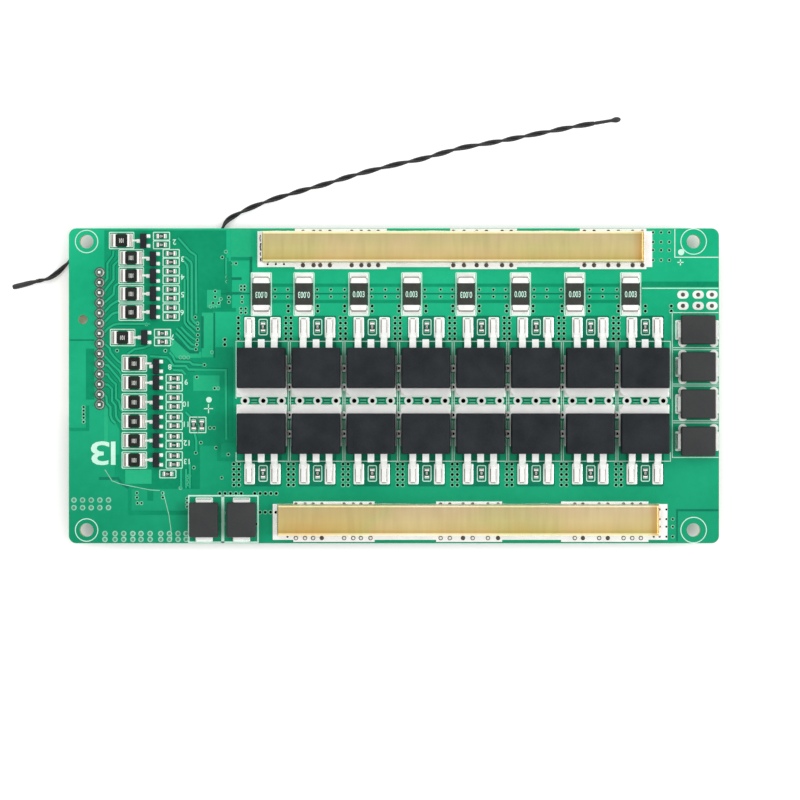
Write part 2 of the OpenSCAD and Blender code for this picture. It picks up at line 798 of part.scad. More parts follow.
module cell_connector_housing() {
    mouth_l = housing_l - 2 * housing_wall;
    color("ivory")
        difference() {
            translate([left_x, pin_row_y - housing_l / 2, 0])
                cube([housing_depth, housing_l, housing_h]);
            // the mouth, open at the board's left edge
            translate([left_x - over, pin_row_y - mouth_l / 2, housing_floor])
                cube([cavity_depth + over, mouth_l, housing_h - housing_roof - housing_floor]);
            // slots at the back for the pins' legs
            for (i = [0:pin_count - 1])
                translate([pin_x - pin_t / 2 - 0.1, pin_y(i) - leg_slot_w / 2, pin_level - pin_t / 2 - 0.1])
                    cube([housing_depth, leg_slot_w, housing_h]);
            // keying slots in the floor of the mouth
            for (side = [-1, 1])
                translate([left_x - over, pin_row_y + side * (mouth_l / 2 - 3) - key_slot_w / 2, -over])
                    cube([key_slot_l + over, key_slot_w, housing_floor + 2 * over]);
            cell_connector_pins();
        }
}

// Cones of solder round the pins on top of the board
module connector_solder_joints() {
    color("gainsboro")
        difference() {
            for (i = [0:pin_count - 1])
                translate([pin_x, pin_y(i), top_z])
                    cylinder(r1 = solder_base_r, r2 = solder_top_r, h = solder_h);
            cell_connector_pins();
        }
}

// ---- Controllers under the board ----
// Drawn the right way up, then turned over against the board's underside.

module controller_metal() {
    for (side = [-1, 1], i = [0:controller_leads_a_side - 1])
        translate([side * controller_w / 2,
            (i - (controller_leads_a_side - 1) / 2) * controller_pitch, 0])
            rotate([0, 0, -side * 90])
                bent_lead(controller_lead_w, controller_lead_t, controller_h * 0.55, 0.3, 0.3, 0.15,
                    controller_lead_reach);
}

module place_controller(i) {
    p = controller_places[i - 1];
    translate([left_x + p[0], p[1], under_z])
        mirror([0, 0, 1])
            children();
}

module controller_ic(i) {
    color("#222326")
        place_controller(i)
            difference() {
                moulded_body(controller_w, controller_l, controller_rise, controller_h,
                    controller_h * 0.5, 0.1);
                controller_metal();
                // the dimple that marks the first lead
                translate([-controller_w / 2 + 0.9, controller_l / 2 - 0.9, controller_h - 0.08])
                    cylinder(d = 0.8, h = over);
            }
}

module controller_leads() {
    color("silver")
        for (i = [1:len(controller_places)])
            place_controller(i)
                controller_metal();
}

// ---- Temperature sensors on twisted leads ----

lead_sides = 8;
function unit(v) = v / norm(v);
// The lead's direction at point i of its route
function heading(route, i) =
    i == 0 ? [0, 0, -1] :
    i == len(route) - 1 ? unit(route[i] - route[i - 1]) :
    unit(route[i + 1] - route[i - 1]);
// A level direction square to the heading; at the start the lead points straight down
function sideways(route, i) =
    let (h = heading(route, i), g = i == 0 ? heading(route, 2) : h)
    unit([-g[1], g[0], 0]);
function lead_ring(route, i) =
    let (h = heading(route, i), s = sideways(route, i), u = cross(s, h))
    [for (k = [0:lead_sides - 1])
        route[i] + sensor_lead_d / 2 * (cos(k * 360 / lead_sides) * s + sin(k * 360 / lead_sides) * u)];

// One tube swept along a route
module sensor_lead(route) {
    n = len(route);
    points = [for (i = [0:n - 1]) each lead_ring(route, i)];
    sides = [for (i = [0:n - 2], k = [0:lead_sides - 1])
        let (a = i * lead_sides + k, b = i * lead_sides + (k + 1) % lead_sides)
        [a, b, b + lead_sides, a + lead_sides]];
    start = [for (k = [0:lead_sides - 1]) lead_sides - 1 - k];
    finish = [for (k = [0:lead_sides - 1]) (n - 1) * lead_sides + k];
    color("#1a1a1c")
        polyhedron(points, concat(sides, [start, finish]), convexity = 10);
}

// A sensor in its sleeve, carried on from the last point of a lead's route
module sensor_tip(route, r, blunt) {
    last = route[len(route) - 1];
    h = heading(route, len(route) - 1);
    translate(last)
        rotate([0, 90, atan2(h[1], h[0])])
            rotate_extrude()
                polygon([[0, 0], [tip_neck_r, 0], [tip_neck_r, 0.6], [r * 0.8, 1.4],
                    [r, sensor_tip_l * blunt], [r * 0.95, sensor_tip_l - 0.4],
                    [r * 0.6, sensor_tip_l], [0, sensor_tip_l]]);
}

module long_sensor_lead() {
    sensor_lead(long_route);
}

module long_sensor_tip() {
    color("#1d1d1f")
        sensor_tip(long_route, long_tip_r, 0.8);
}

module short_sensor_lead() {
    sensor_lead(short_route);
}

module short_sensor_tip() {
    color("#1d1d1f")
        sensor_tip(short_route, short_tip_r, 0.5);
}

// ---- Assembly ----

circuit_board();
rear_solder_land();
front_solder_land();
rear_busbar();
front_busbar();
mosfet_rear(1);  // mosfet_rear_1
mosfet_rear(2);  // mosfet_rear_2
mosfet_rear(3);  // mosfet_rear_3
mosfet_rear(4);  // mosfet_rear_4
mosfet_rear(5);  // mosfet_rear_5
mosfet_rear(6);  // mosfet_rear_6
mosfet_rear(7);  // mosfet_rear_7
mosfet_rear(8);  // mosfet_rear_8
mosfet_front(1);  // mosfet_front_1
mosfet_front(2);  // mosfet_front_2
mosfet_front(3);  // mosfet_front_3
mosfet_front(4);  // mosfet_front_4
mosfet_front(5);  // mosfet_front_5
mosfet_front(6);  // mosfet_front_6
mosfet_front(7);  // mosfet_front_7
mosfet_front(8);  // mosfet_front_8
rear_mosfet_leads();
front_mosfet_leads();
shunt_resistor(1);  // shunt_resistor_1
shunt_resistor(2);  // shunt_resistor_2
shunt_resistor(3);  // shunt_resistor_3
shunt_resistor(4);  // shunt_resistor_4
shunt_resistor(5);  // shunt_resistor_5
shunt_resistor(6);  // shunt_resistor_6
shunt_resistor(7);  // shunt_resistor_7
shunt_resistor(8);  // shunt_resistor_8
shunt_terminals();
clamp_diode(1);  // clamp_diode_1
clamp_diode(2);  // clamp_diode_2
clamp_diode(3);  // clamp_diode_3
clamp_diode(4);  // clamp_diode_4
input_diode(1);  // input_diode_1
input_diode(2);  // input_diode_2
diode_terminals();
balance_resistors();
balance_resistor_caps();
balance_transistors();
balance_transistor_leads();
chip_resistors();
chip_resistor_caps();
gate_resistors();
gate_resistor_caps();
cell_connector_housing();
cell_connector_pins();
connector_solder_joints();
controller_ic(1);  // controller_ic_1
controller_ic(2);  // controller_ic_2
controller_leads();
long_sensor_lead();
long_sensor_tip();
short_sensor_lead();
short_sensor_tip();
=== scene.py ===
# Looks of the battery management board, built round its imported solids.
import json
import math

import bmesh
import bpy
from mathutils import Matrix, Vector, noise


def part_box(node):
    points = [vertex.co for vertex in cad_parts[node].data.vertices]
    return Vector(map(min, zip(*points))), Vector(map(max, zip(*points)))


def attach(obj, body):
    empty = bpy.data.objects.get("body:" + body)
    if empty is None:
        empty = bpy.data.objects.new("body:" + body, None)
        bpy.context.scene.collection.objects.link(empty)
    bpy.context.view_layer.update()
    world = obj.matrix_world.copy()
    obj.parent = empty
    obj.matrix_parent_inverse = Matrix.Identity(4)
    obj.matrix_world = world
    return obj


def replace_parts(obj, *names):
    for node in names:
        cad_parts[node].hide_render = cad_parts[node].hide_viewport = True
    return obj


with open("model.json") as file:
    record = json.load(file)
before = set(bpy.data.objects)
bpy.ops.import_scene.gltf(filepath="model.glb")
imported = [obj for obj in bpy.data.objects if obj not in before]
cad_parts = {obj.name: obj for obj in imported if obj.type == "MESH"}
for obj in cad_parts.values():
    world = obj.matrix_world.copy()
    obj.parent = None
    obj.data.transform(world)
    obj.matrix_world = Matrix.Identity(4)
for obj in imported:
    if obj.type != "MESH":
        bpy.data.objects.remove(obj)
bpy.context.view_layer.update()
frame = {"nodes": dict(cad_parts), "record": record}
scene = bpy.context.scene
mm = 0.001
record = frame["record"]
boardLow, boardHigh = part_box("circuit_board")
topZ, underZ = boardHigh.z, boardLow.z
print("frame loaded")

# Node helpers


def addNode(tree, kind, inputs=None, **settings):
    node = tree.nodes.new(kind)
    for key, value in settings.items():
        setattr(node, key, value)
    for key, value in (inputs or {}).items():
        node.inputs[key].default_value = value
    return node


def setStops(ramp, stops):
    # stops are pairs of a position and a colour, from the lowest to the highest
    for index, (position, colour) in ((0, stops[0]), (1, stops[-1])):
        ramp.elements[index].position, ramp.elements[index].color = position, (*colour, 1)
    for position, colour in stops[1:-1]:
        ramp.elements.new(position).color = (*colour, 1)


# Camera and light

cameraPlan = {"height": 0.6, "aimX": 0.0012, "aimY": -0.0028, "widthSeen": 0.1575, "sensor": 36}
lightPlan = {"tent": 1.1, "slant": 0.22, "key": 0.9, "keySize": 0.3, "keyPlace": (-0.32, 0.34, 0.5),
             "fill": 1.4, "fillSize": 0.22, "fillPlace": (0.5, -0.03, 0.42)}
tentLevels = [(0.0, 0.55), (0.35, 1.0), (0.8, 1.0), (0.92, 0.7), (0.98, 0.4)]  # height and grey level


def placeCamera():
    data = bpy.data.cameras.new("copyStand")
    camera = bpy.data.objects.new("copyStand", data)
    scene.collection.objects.link(camera)
    camera.location = (cameraPlan["aimX"], cameraPlan["aimY"], cameraPlan["height"])
    data.sensor_width = cameraPlan["sensor"]
    data.lens = cameraPlan["sensor"] * (cameraPlan["height"] - topZ) / cameraPlan["widthSeen"]
    data.clip_start, data.clip_end = 0.01, 10
    scene.camera = camera


def placeLight(name, power, size, place):
    # an area light that faces the origin
    data = bpy.data.lights.new(name, "AREA")
    data.energy, data.size = power, size
    lamp = bpy.data.objects.new(name, data)
    scene.collection.objects.link(lamp)
    lamp.location = place
    lamp.rotation_mode = "QUATERNION"
    lamp.rotation_quaternion = (-Vector(place)).to_track_quat("-Z", "Y")


def placeWorld():
    # a light tent: bright walls all round, a dim opening overhead where the camera looks in
    world = bpy.data.worlds.new("lightTent")
    scene.world = world
    world.use_nodes = True
    tree = world.node_tree
    back = tree.nodes["Background"]
    aim = addNode(tree, "ShaderNodeTexCoord")
    split = addNode(tree, "ShaderNodeSeparateXYZ")
    ramp = addNode(tree, "ShaderNodeValToRGB")
    setStops(ramp.color_ramp, [(height, (level,) * 3) for height, level in tentLevels])
    slant = addNode(tree, "ShaderNodeMath", {1: lightPlan["tent"] * lightPlan["slant"],
                                             2: lightPlan["tent"]}, operation="MULTIPLY_ADD")
    tree.links.new(aim.outputs["Generated"], split.inputs[0])
    tree.links.new(split.outputs["Z"], ramp.inputs["Fac"])
    tree.links.new(ramp.outputs["Color"], back.inputs["Color"])
    tree.links.new(split.outputs["X"], slant.inputs[0])
    tree.links.new(slant.outputs[0], back.inputs["Strength"])


placeCamera()
placeWorld()
for lamp in ("key", "fill"):
    placeLight(lamp, lightPlan[lamp], lightPlan[lamp + "Size"], lightPlan[lamp + "Place"])
scene.view_settings.view_transform = "Standard"
print("camera and lights placed")

# Shared node groups


def newGroup(name, inputs, outputs):
    group = bpy.data.node_groups.new(name, "ShaderNodeTree")
    for label, kind, value in inputs:
        socket = group.interface.new_socket(name=label, in_out="INPUT", socket_type=kind)
        socket.default_value = value
    for label, kind in outputs:
        group.interface.new_socket(name=label, in_out="OUTPUT", socket_type=kind)
    return group, group.nodes.new("NodeGroupInput"), group.nodes.new("NodeGroupOutput")


def mottleGroup():
    # two tones of one colour, spread in soft clouds with a finer speckle over them
    group, start, end = newGroup("mottle", [
        ("Scale", "NodeSocketFloat", 60), ("Speckle", "NodeSocketFloat", 0.3),
        ("Light", "NodeSocketColor", (1, 1, 1, 1)), ("Dark", "NodeSocketColor", (0, 0, 0, 1))],
        [("Color", "NodeSocketColor"), ("Cloud", "NodeSocketFloat")])
    place = addNode(group, "ShaderNodeTexCoord")
    cloud = addNode(group, "ShaderNodeTexNoise", {"Detail": 4})
    fine = addNode(group, "ShaderNodeTexNoise", {"Detail": 2})
    finer = addNode(group, "ShaderNodeMath", {1: 14}, operation="MULTIPLY")  # speckles to a cloud's width
    mix = addNode(group, "ShaderNodeMix", data_type="FLOAT")
    tone = addNode(group, "ShaderNodeMix", data_type="RGBA")
    spread = addNode(group, "ShaderNodeMapRange", {"From Min": 0.3, "From Max": 0.7})
    link = group.links.new
    link(place.outputs["Object"], cloud.inputs["Vector"])
    link(place.outputs["Object"], fine.inputs["Vector"])
    link(start.outputs["Scale"], cloud.inputs["Scale"])
    link(start.outputs["Scale"], finer.inputs[0])
    link(finer.outputs[0], fine.inputs["Scale"])
    link(start.outputs["Speckle"], mix.inputs["Factor"])
    link(cloud.outputs["Fac"], mix.inputs["A"])
    link(fine.outputs["Fac"], mix.inputs["B"])
    link(mix.outputs["Result"], spread.inputs["Value"])
    link(spread.outputs["Result"], tone.inputs["Factor"])
    link(start.outputs["Dark"], tone.inputs["A"])
    link(start.outputs["Light"], tone.inputs["B"])
    link(tone.outputs["Result"], end.inputs["Color"])
    link(spread.outputs["Result"], end.inputs["Cloud"])
    return group


def grainGroup():
    # fine surface relief, with a share of broad waviness
    group, start, end = newGroup("grain", [
        ("Scale", "NodeSocketFloat", 3000), ("Strength", "NodeSocketFloat", 0.2),
        ("Waviness", "NodeSocketFloat", 0.2), ("Depth", "NodeSocketFloat", 0.00002)],
        [("Normal", "NodeSocketVector"), ("Mask", "NodeSocketFloat")])
    place = addNode(group, "ShaderNodeTexCoord")
    fine = addNode(group, "ShaderNodeTexNoise", {"Detail": 3})
    broad = addNode(group, "ShaderNodeTexNoise")
    broader = addNode(group, "ShaderNodeMath", {1: 0.12}, operation="MULTIPLY")  # share of the grain's scale
    mix = addNode(group, "ShaderNodeMix", data_type="FLOAT")
    bump = addNode(group, "ShaderNodeBump")
    link = group.links.new
    link(place.outputs["Object"], fine.inputs["Vector"])
    link(place.outputs["Object"], broad.inputs["Vector"])
    link(start.outputs["Scale"], fine.inputs["Scale"])
    link(start.outputs["Scale"], broader.inputs[0])
    link(broader.outputs[0], broad.inputs["Scale"])
    link(start.outputs["Waviness"], mix.inputs["Factor"])
    link(fine.outputs["Fac"], mix.inputs["A"])
    link(broad.outputs["Fac"], mix.inputs["B"])
    link(mix.outputs["Result"], bump.inputs["Height"])
    link(start.outputs["Strength"], bump.inputs["Strength"])
    link(start.outputs["Depth"], bump.inputs["Distance"])
    link(bump.outputs["Normal"], end.inputs["Normal"])
    link(mix.outputs["Result"], end.inputs["Mask"])
    return group


mottle = mottleGroup()
grain = grainGroup()

# Materials


def newMaterial(name):
    material = bpy.data.materials.new(name)
    material.use_nodes = True
    return material, material.node_tree, material.node_tree.nodes["Principled BSDF"]


def placeGroup(tree, group, **values):
    node = tree.nodes.new("ShaderNodeGroup")
    node.node_tree = group
    for key, value in values.items():
        node.inputs[key].default_value = value
    return node


def finish(name, light, dark, roughness, metallic=0.0, cloudScale=60.0, speckle=0.3,
           grainScale=3000.0, grainStrength=0.2, waviness=0.2, depth=0.00002, roughSpread=0.1,
           specular=0.5):
    # the ordinary finish: mottled colour, uneven gloss and a fine grain
    material, tree, shader = newMaterial(name)
    tone = placeGroup(tree, mottle, Scale=cloudScale, Speckle=speckle, Light=(*light, 1), Dark=(*dark, 1))
    relief = placeGroup(tree, grain, Scale=grainScale, Strength=grainStrength, Waviness=waviness,
                        Depth=depth)
    gloss = addNode(tree, "ShaderNodeMapRange", {"To Min": roughness - roughSpread,
                                                 "To Max": roughness + roughSpread})
    tree.links.new(tone.outputs["Color"], shader.inputs["Base Color"])
    tree.links.new(tone.outputs["Cloud"], gloss.inputs["Value"])
    tree.links.new(gloss.outputs["Result"], shader.inputs["Roughness"])
    tree.links.new(relief.outputs["Normal"], shader.inputs["Normal"])
    shader.inputs["Metallic"].default_value = metallic
    shader.inputs["Specular IOR Level"].default_value = specular
    return material


greens = {"pourLight": (0.012, 0.4, 0.2), "pourDark": (0.003, 0.3, 0.145),
          "midLight": (0.0015, 0.275, 0.13), "midDark": (0.001, 0.2, 0.094),
          "gapLight": (0.003, 0.185, 0.1), "gapDark": (0.001, 0.13, 0.068),
          "traceLight": (0.02, 0.39, 0.195), "traceDark": (0.007, 0.34, 0.16), "gloss": 0.11,
          # these two scale the mask colour: painted shade at the front, painted light at the rear
          "frontPaintedShade": 0.74, "rearPaintedLight": 1.1, "maskRough": 0.34}
laminate = {"light": (0.5, 0.5, 0.26), "dark": (0.28, 0.33, 0.14), "rough": 0.75}


def boardMaterial():
    # green mask on the two faces, bare laminate on every edge and hole wall; the mask colour is scaled darker
    # towards the front and lighter towards the rear, a painted shade and painted light
    material, tree, shader = newMaterial("greenMask")
    tone = placeGroup(tree, mottle, Scale=45, Speckle=0.2, Light=(*greens["pourLight"], 1),
                      Dark=(*greens["pourDark"], 1))
    core = placeGroup(tree, mottle, Scale=900, Speckle=0.5, Light=(*laminate["light"], 1),
                      Dark=(*laminate["dark"], 1))
    relief = placeGroup(tree, grain, Scale=2500, Strength=0.12, Waviness=0.5, Depth=0.00002)
    facing = addNode(tree, "ShaderNodeNewGeometry")
    split = addNode(tree, "ShaderNodeSeparateXYZ")
    size = addNode(tree, "ShaderNodeMath", operation="ABSOLUTE")
    edge = addNode(tree, "ShaderNodeMath", {1: 0.5}, operation="LESS_THAN")
    place = addNode(tree, "ShaderNodeTexCoord")
    where = addNode(tree, "ShaderNodeSeparateXYZ")
    # painted shade at the front of the board and painted light at its rear
    paintedLightAndShadeRamp = addNode(tree, "ShaderNodeMapRange", {"From Min": boardLow.y, "From Max": boardHigh.y,
                                                "To Min": greens["frontPaintedShade"], "To Max": greens["rearPaintedLight"]})
    paintedLightAndShadeTone = addNode(tree, "ShaderNodeVectorMath", operation="SCALE")
    colour = addNode(tree, "ShaderNodeMix", data_type="RGBA")
    rough = addNode(tree, "ShaderNodeMix", {"A": greens["maskRough"], "B": laminate["rough"]},
                    data_type="FLOAT")
    link = tree.links.new
    link(facing.outputs["True Normal"], split.inputs[0])
    link(split.outputs["Z"], size.inputs[0])
    link(size.outputs[0], edge.inputs[0])
    link(edge.outputs[0], colour.inputs["Factor"])
    link(edge.outputs[0], rough.inputs["Factor"])
    link(place.outputs["Object"], where.inputs[0])
    link(where.outputs["Y"], paintedLightAndShadeRamp.inputs["Value"])
    link(tone.outputs["Color"], paintedLightAndShadeTone.inputs[0])
    link(paintedLightAndShadeRamp.outputs["Result"], paintedLightAndShadeTone.inputs["Scale"])
    link(paintedLightAndShadeTone.outputs["Vector"], colour.inputs["A"])
    link(core.outputs["Color"], colour.inputs["B"])
    link(colour.outputs["Result"], shader.inputs["Base Color"])
    link(rough.outputs["Result"], shader.inputs["Roughness"])
    link(relief.outputs["Normal"], shader.inputs["Normal"])
    shader.inputs["Specular IOR Level"].default_value = greens["gloss"]
    return material


brassPlan = {"streaks": (1500, 160, 160), "drift": (34, 60, 34), "streakShade": 0.1, "metallic": 0.72,
             "smooth": 0.32, "rough": 0.46, "relief": 0.18, "reliefDepth": 0.00003}
brassTones = [(0.32, (0.7, 0.5, 0.19)), (0.46, (0.66, 0.58, 0.24)), (0.56, (0.74, 0.58, 0.28)),
              (0.68, (0.79, 0.66, 0.34))]
streakTones = [(0.3, (0.6, 0.56, 0.5)), (0.65, (1, 1, 1))]
# shares of the brass tone across the bar: painted highlights along the long edges, and an amber band beside
# the front one
acrossTones = [(0.0, (1.25, 1.35, 1.9)), (0.075, (1.25, 1.35, 1.8)), (0.1, (0.86, 0.74, 0.44)),
               (0.2, (0.97, 0.92, 0.8)), (0.45, (1, 1, 1)), (0.86, (0.94, 0.92, 1.08)),
               (0.905, (0.88, 0.84, 0.9)), (0.93, (1.25, 1.35, 1.8)), (1.0, (1.25, 1.35, 1.9))]
endTones = [(0.97, (1, 1, 1)), (0.99, (0.84, 0.66, 0.46))]  # the bar's right end is darker


def busbarMaterial():
    # drawn brass: faint streaks across the bar, tones drifting along it, painted highlights along both long
    # edges, ambered towards one long edge, darker at the right end
    material, tree, shader = newMaterial("drawnBrass")
    place = addNode(tree, "ShaderNodeTexCoord")
    stretch = addNode(tree, "ShaderNodeMapping", {"Scale": brassPlan["streaks"]})
    streak = addNode(tree, "ShaderNodeTexNoise", {"Detail": 5, "Scale": 1})
    along = addNode(tree, "ShaderNodeMapping", {"Scale": brassPlan["drift"]})
    drift = addNode(tree, "ShaderNodeTexNoise", {"Detail": 3, "Scale": 1})
    warm = addNode(tree, "ShaderNodeValToRGB")
    soft = addNode(tree, "ShaderNodeValToRGB")
    highlightAndAmber = addNode(tree, "ShaderNodeValToRGB")
    ends = addNode(tree, "ShaderNodeValToRGB")
    for node, stops in ((warm, brassTones), (soft, streakTones), (highlightAndAmber, acrossTones), (ends, endTones)):
        setStops(node.color_ramp, stops)
    shade = addNode(tree, "ShaderNodeMix", {"Factor": brassPlan["streakShade"]}, data_type="RGBA",
                    blend_type="MULTIPLY")
    across = addNode(tree, "ShaderNodeSeparateXYZ")
    layered = addNode(tree, "ShaderNodeMix", {"Factor": 1}, data_type="RGBA", blend_type="MULTIPLY")
    endDarkened = addNode(tree, "ShaderNodeMix", {"Factor": 1}, data_type="RGBA", blend_type="MULTIPLY")
    rough = addNode(tree, "ShaderNodeMapRange", {"To Min": brassPlan["smooth"], "To Max": brassPlan["rough"]})
    bump = addNode(tree, "ShaderNodeBump", {"Strength": brassPlan["relief"],
                                            "Distance": brassPlan["reliefDepth"]})
    link = tree.links.new
    link(place.outputs["Object"], stretch.inputs["Vector"])
    link(stretch.outputs["Vector"], streak.inputs["Vector"])
    link(place.outputs["Object"], along.inputs["Vector"])
    link(along.outputs["Vector"], drift.inputs["Vector"])
    link(place.outputs["Generated"], across.inputs[0])
    # the ramp across the bar holds painted highlights at both long edges and the amber band
    link(across.outputs["Y"], highlightAndAmber.inputs["Fac"])
    link(across.outputs["X"], ends.inputs["Fac"])
    link(drift.outputs["Fac"], warm.inputs["Fac"])
    link(streak.outputs["Fac"], soft.inputs["Fac"])
    link(warm.outputs["Color"], shade.inputs["A"])
    link(soft.outputs["Color"], shade.inputs["B"])
    link(shade.outputs["Result"], layered.inputs["A"])
    link(highlightAndAmber.outputs["Color"], layered.inputs["B"])
    link(layered.outputs["Result"], endDarkened.inputs["A"])
    link(ends.outputs["Color"], endDarkened.inputs["B"])
    link(endDarkened.outputs["Result"], shader.inputs["Base Color"])
    link(streak.outputs["Fac"], rough.inputs["Value"])
    link(rough.outputs["Result"], shader.inputs["Roughness"])
    link(streak.outputs["Fac"], bump.inputs["Height"])
    link(bump.outputs["Normal"], shader.inputs["Normal"])
    shader.inputs["Metallic"].default_value = brassPlan["metallic"]
    return material


maskPour = boardMaterial()
maskMid = finish("maskOverBareLaminate", greens["midLight"], greens["midDark"], 0.36, cloudScale=70,
                 grainScale=2500, grainStrength=0.12, waviness=0.5, specular=greens["gloss"])
maskGap = finish("maskInCopperGap", greens["gapLight"], greens["gapDark"], 0.4, cloudScale=90,
                 grainScale=2500, grainStrength=0.12, waviness=0.5, specular=greens["gloss"])
maskTrace = finish("maskOverTrace", greens["traceLight"], greens["traceDark"], 0.33, cloudScale=90,
                   grainScale=2500, grainStrength=0.12, waviness=0.5, specular=greens["gloss"])
maskRing = finish("maskOverViaRing", (0.24, 0.56, 0.38), (0.07, 0.36, 0.2), 0.35, cloudScale=800,
                  grainScale=4000, specular=0.2)
paleMask = finish("maskOverSolderCap", (0.3, 0.6, 0.44), (0.14, 0.42, 0.28), 0.35, cloudScale=700,
                  grainScale=4000, specular=0.3)
greyMask = finish("maskInCapDimple", (0.12, 0.27, 0.19), (0.05, 0.17, 0.11), 0.4, cloudScale=700,
                  grainScale=4000, specular=0.3)
# near-black lining and plugs for the holes: painted shade for the dark depth of the holes
holeShadeMask = finish("paintedShadePlugInHole", (0.004, 0.016, 0.01), (0.001, 0.005, 0.003), 0.6, cloudScale=600,
                  grainScale=4000, specular=0.1)
printing = finish("whitePrinting", (0.6, 0.84, 0.72), (0.4, 0.68, 0.54), 0.7, cloudScale=300,
                  speckle=0.5, grainScale=6000, grainStrength=0.4, specular=0.2)
chipPrint = finish("chipFigureInk", (0.82, 0.84, 0.78), (0.55, 0.57, 0.52), 0.6, cloudScale=900,
                   speckle=0.5)
scuff = finish("scuffedMask", (0.42, 0.7, 0.56), (0.1, 0.42, 0.25), 0.6, cloudScale=900, speckle=0.6,
               grainScale=5000, specular=0.2)
solder = finish("brightSolder", (0.97, 0.97, 0.95), (0.84, 0.85, 0.82), 0.3, metallic=0.72,
                cloudScale=500, speckle=0.4, grainScale=1800, grainStrength=0.6, waviness=0.6,
                depth=0.00006, roughSpread=0.12)
landSolder = finish("landSolder", (0.97, 0.97, 0.96), (0.88, 0.88, 0.87), 0.4, metallic=0.3,
                    cloudScale=300, speckle=0.4, grainScale=1500, grainStrength=0.5, waviness=0.7,
                    depth=0.00006)
padTin = finish("levelledTin", (0.95, 0.97, 0.93), (0.82, 0.85, 0.8), 0.4, metallic=0.55,
                cloudScale=400, speckle=0.4, grainScale=1500, grainStrength=0.4, waviness=0.7,
                depth=0.00005)
leadTin = finish("leadTin", (0.97, 0.97, 0.95), (0.86, 0.87, 0.85), 0.36, metallic=0.3,
                 cloudScale=700, speckle=0.5, grainScale=3500, grainStrength=0.4, depth=0.00003)
# darker solder for the fillets at chip ends, transistor feet and shunt terminals: its dark tone is painted
# shade for the steep fillet sides
paintedShadeSolder = finish("paintedShadeSolder", (0.46, 0.43, 0.38), (0.26, 0.23, 0.2), 0.4, metallic=0.6,
                    cloudScale=700, speckle=0.5, grainScale=2500, grainStrength=0.5, depth=0.00004)
# solder of the connector joints; its base is darkened as a painted shade for the joints' dark slopes
shinySolder = finish("shinySolder", (0.62, 0.62, 0.61), (0.24, 0.24, 0.24), 0.22, metallic=0.95,
                     cloudScale=600, speckle=0.4, grainScale=1500, grainStrength=0.7, waviness=0.8,
                     depth=0.00008, roughSpread=0.08)
# dark solder for filled holes, partly flux stain and partly painted shade; it also carries the painted shadow
# strips by the rear bar
stainAndShadeSolder = finish("fluxStainAndPaintedShadeSolder", (0.13, 0.1, 0.075), (0.03, 0.022, 0.016), 0.4,
                       metallic=0.3, cloudScale=900, speckle=0.5, grainScale=2500,
                       grainStrength=0.5, depth=0.00005)
darkFlux = finish("fluxFilm", (0.05, 0.09, 0.065), (0.012, 0.03, 0.02), 0.3, cloudScale=1200, speckle=0.5,
                  grainScale=3000, specular=0.4)
epoxy = finish("mouldedEpoxy", (0.021, 0.025, 0.029), (0.008, 0.0105, 0.013), 0.62, cloudScale=240,
               speckle=0.3, grainScale=5200, grainStrength=0.5, waviness=0.1, depth=0.00003,
               specular=0.15)
diodeEpoxy = finish("diodeEpoxy", (0.043, 0.045, 0.045), (0.03, 0.032, 0.033), 0.66, cloudScale=180,
                    speckle=0.35, grainScale=4800, grainStrength=0.5, waviness=0.1, depth=0.00003,
                    specular=0.15)
shuntCoat = finish("shuntCoating", (0.045, 0.05, 0.042), (0.022, 0.024, 0.021), 0.6,
                   cloudScale=700, speckle=0.6, grainScale=4500, grainStrength=0.7, depth=0.00004,
                   specular=0.18)
ceramic = finish("resistorGlaze", (0.02, 0.024, 0.02), (0.008, 0.01, 0.009), 0.3, cloudScale=600,
                 grainScale=4000, grainStrength=0.25, specular=0.15)
nylon = finish("connectorNylon", (0.8, 0.78, 0.69), (0.7, 0.68, 0.59), 0.5, cloudScale=90,
               grainScale=3000, grainStrength=0.25)
insulation = finish("leadInsulation", (0.014, 0.014, 0.015), (0.006, 0.006, 0.007), 0.45,
                    cloudScale=300, grainScale=2500, grainStrength=0.35, waviness=0.6)
sleeveBlack = finish("sensorSleeve", (0.02, 0.02, 0.021), (0.008, 0.008, 0.009), 0.5,
                     cloudScale=400, grainScale=3000, grainStrength=0.5, waviness=0.5)
brass = busbarMaterial()
print("materials made")

# Mesh helpers


def addPiece(name, bm, material, smooth=True):
    mesh = bpy.data.meshes.new(name)
    bmesh.ops.recalc_face_normals(bm, faces=bm.faces)
    bm.to_mesh(mesh)
    bm.free()
    mesh.materials.append(material)
    if smooth:
        mesh.shade_smooth()
        mesh.set_sharp_from_angle(angle=math.radians(35))
    piece = bpy.data.objects.new(name, mesh)
    scene.collection.objects.link(piece)
    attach(piece, "root")
    return piece


def addFlat(name, bm, material):
    # a piece of mask or printing that lies flat on the board
    return addPiece(name, bm, material, smooth=False)


def dress(node, material):
    mesh = frame["nodes"][node].data
    mesh.materials.clear()
    mesh.materials.append(material)


def solidBoxes(node):
    # the box of each separate solid in a node, in millimetres: x0, y0, z0, x1, y1, z1
    bm = bmesh.new()
    bm.from_mesh(frame["nodes"][node].data)
    bmesh.ops.remove_doubles(bm, verts=bm.verts, dist=1e-6)
    seen, boxes = set(), []
    for first in bm.verts:
        if first in seen:
            continue
        seen.add(first)
        stack, low, high = [first], Vector(first.co), Vector(first.co)
        while stack:
            vertex = stack.pop()
            low = Vector(map(min, low, vertex.co))
            high = Vector(map(max, high, vertex.co))
            for edge in vertex.link_edges:
                other = edge.other_vert(vertex)
                if other not in seen:
                    seen.add(other)
                    stack.append(other)
        boxes.append([v / mm for v in (*low, *high)])
    bm.free()
    return sorted(boxes, key=lambda b: (round(b[1], 1), round(b[0], 1)))


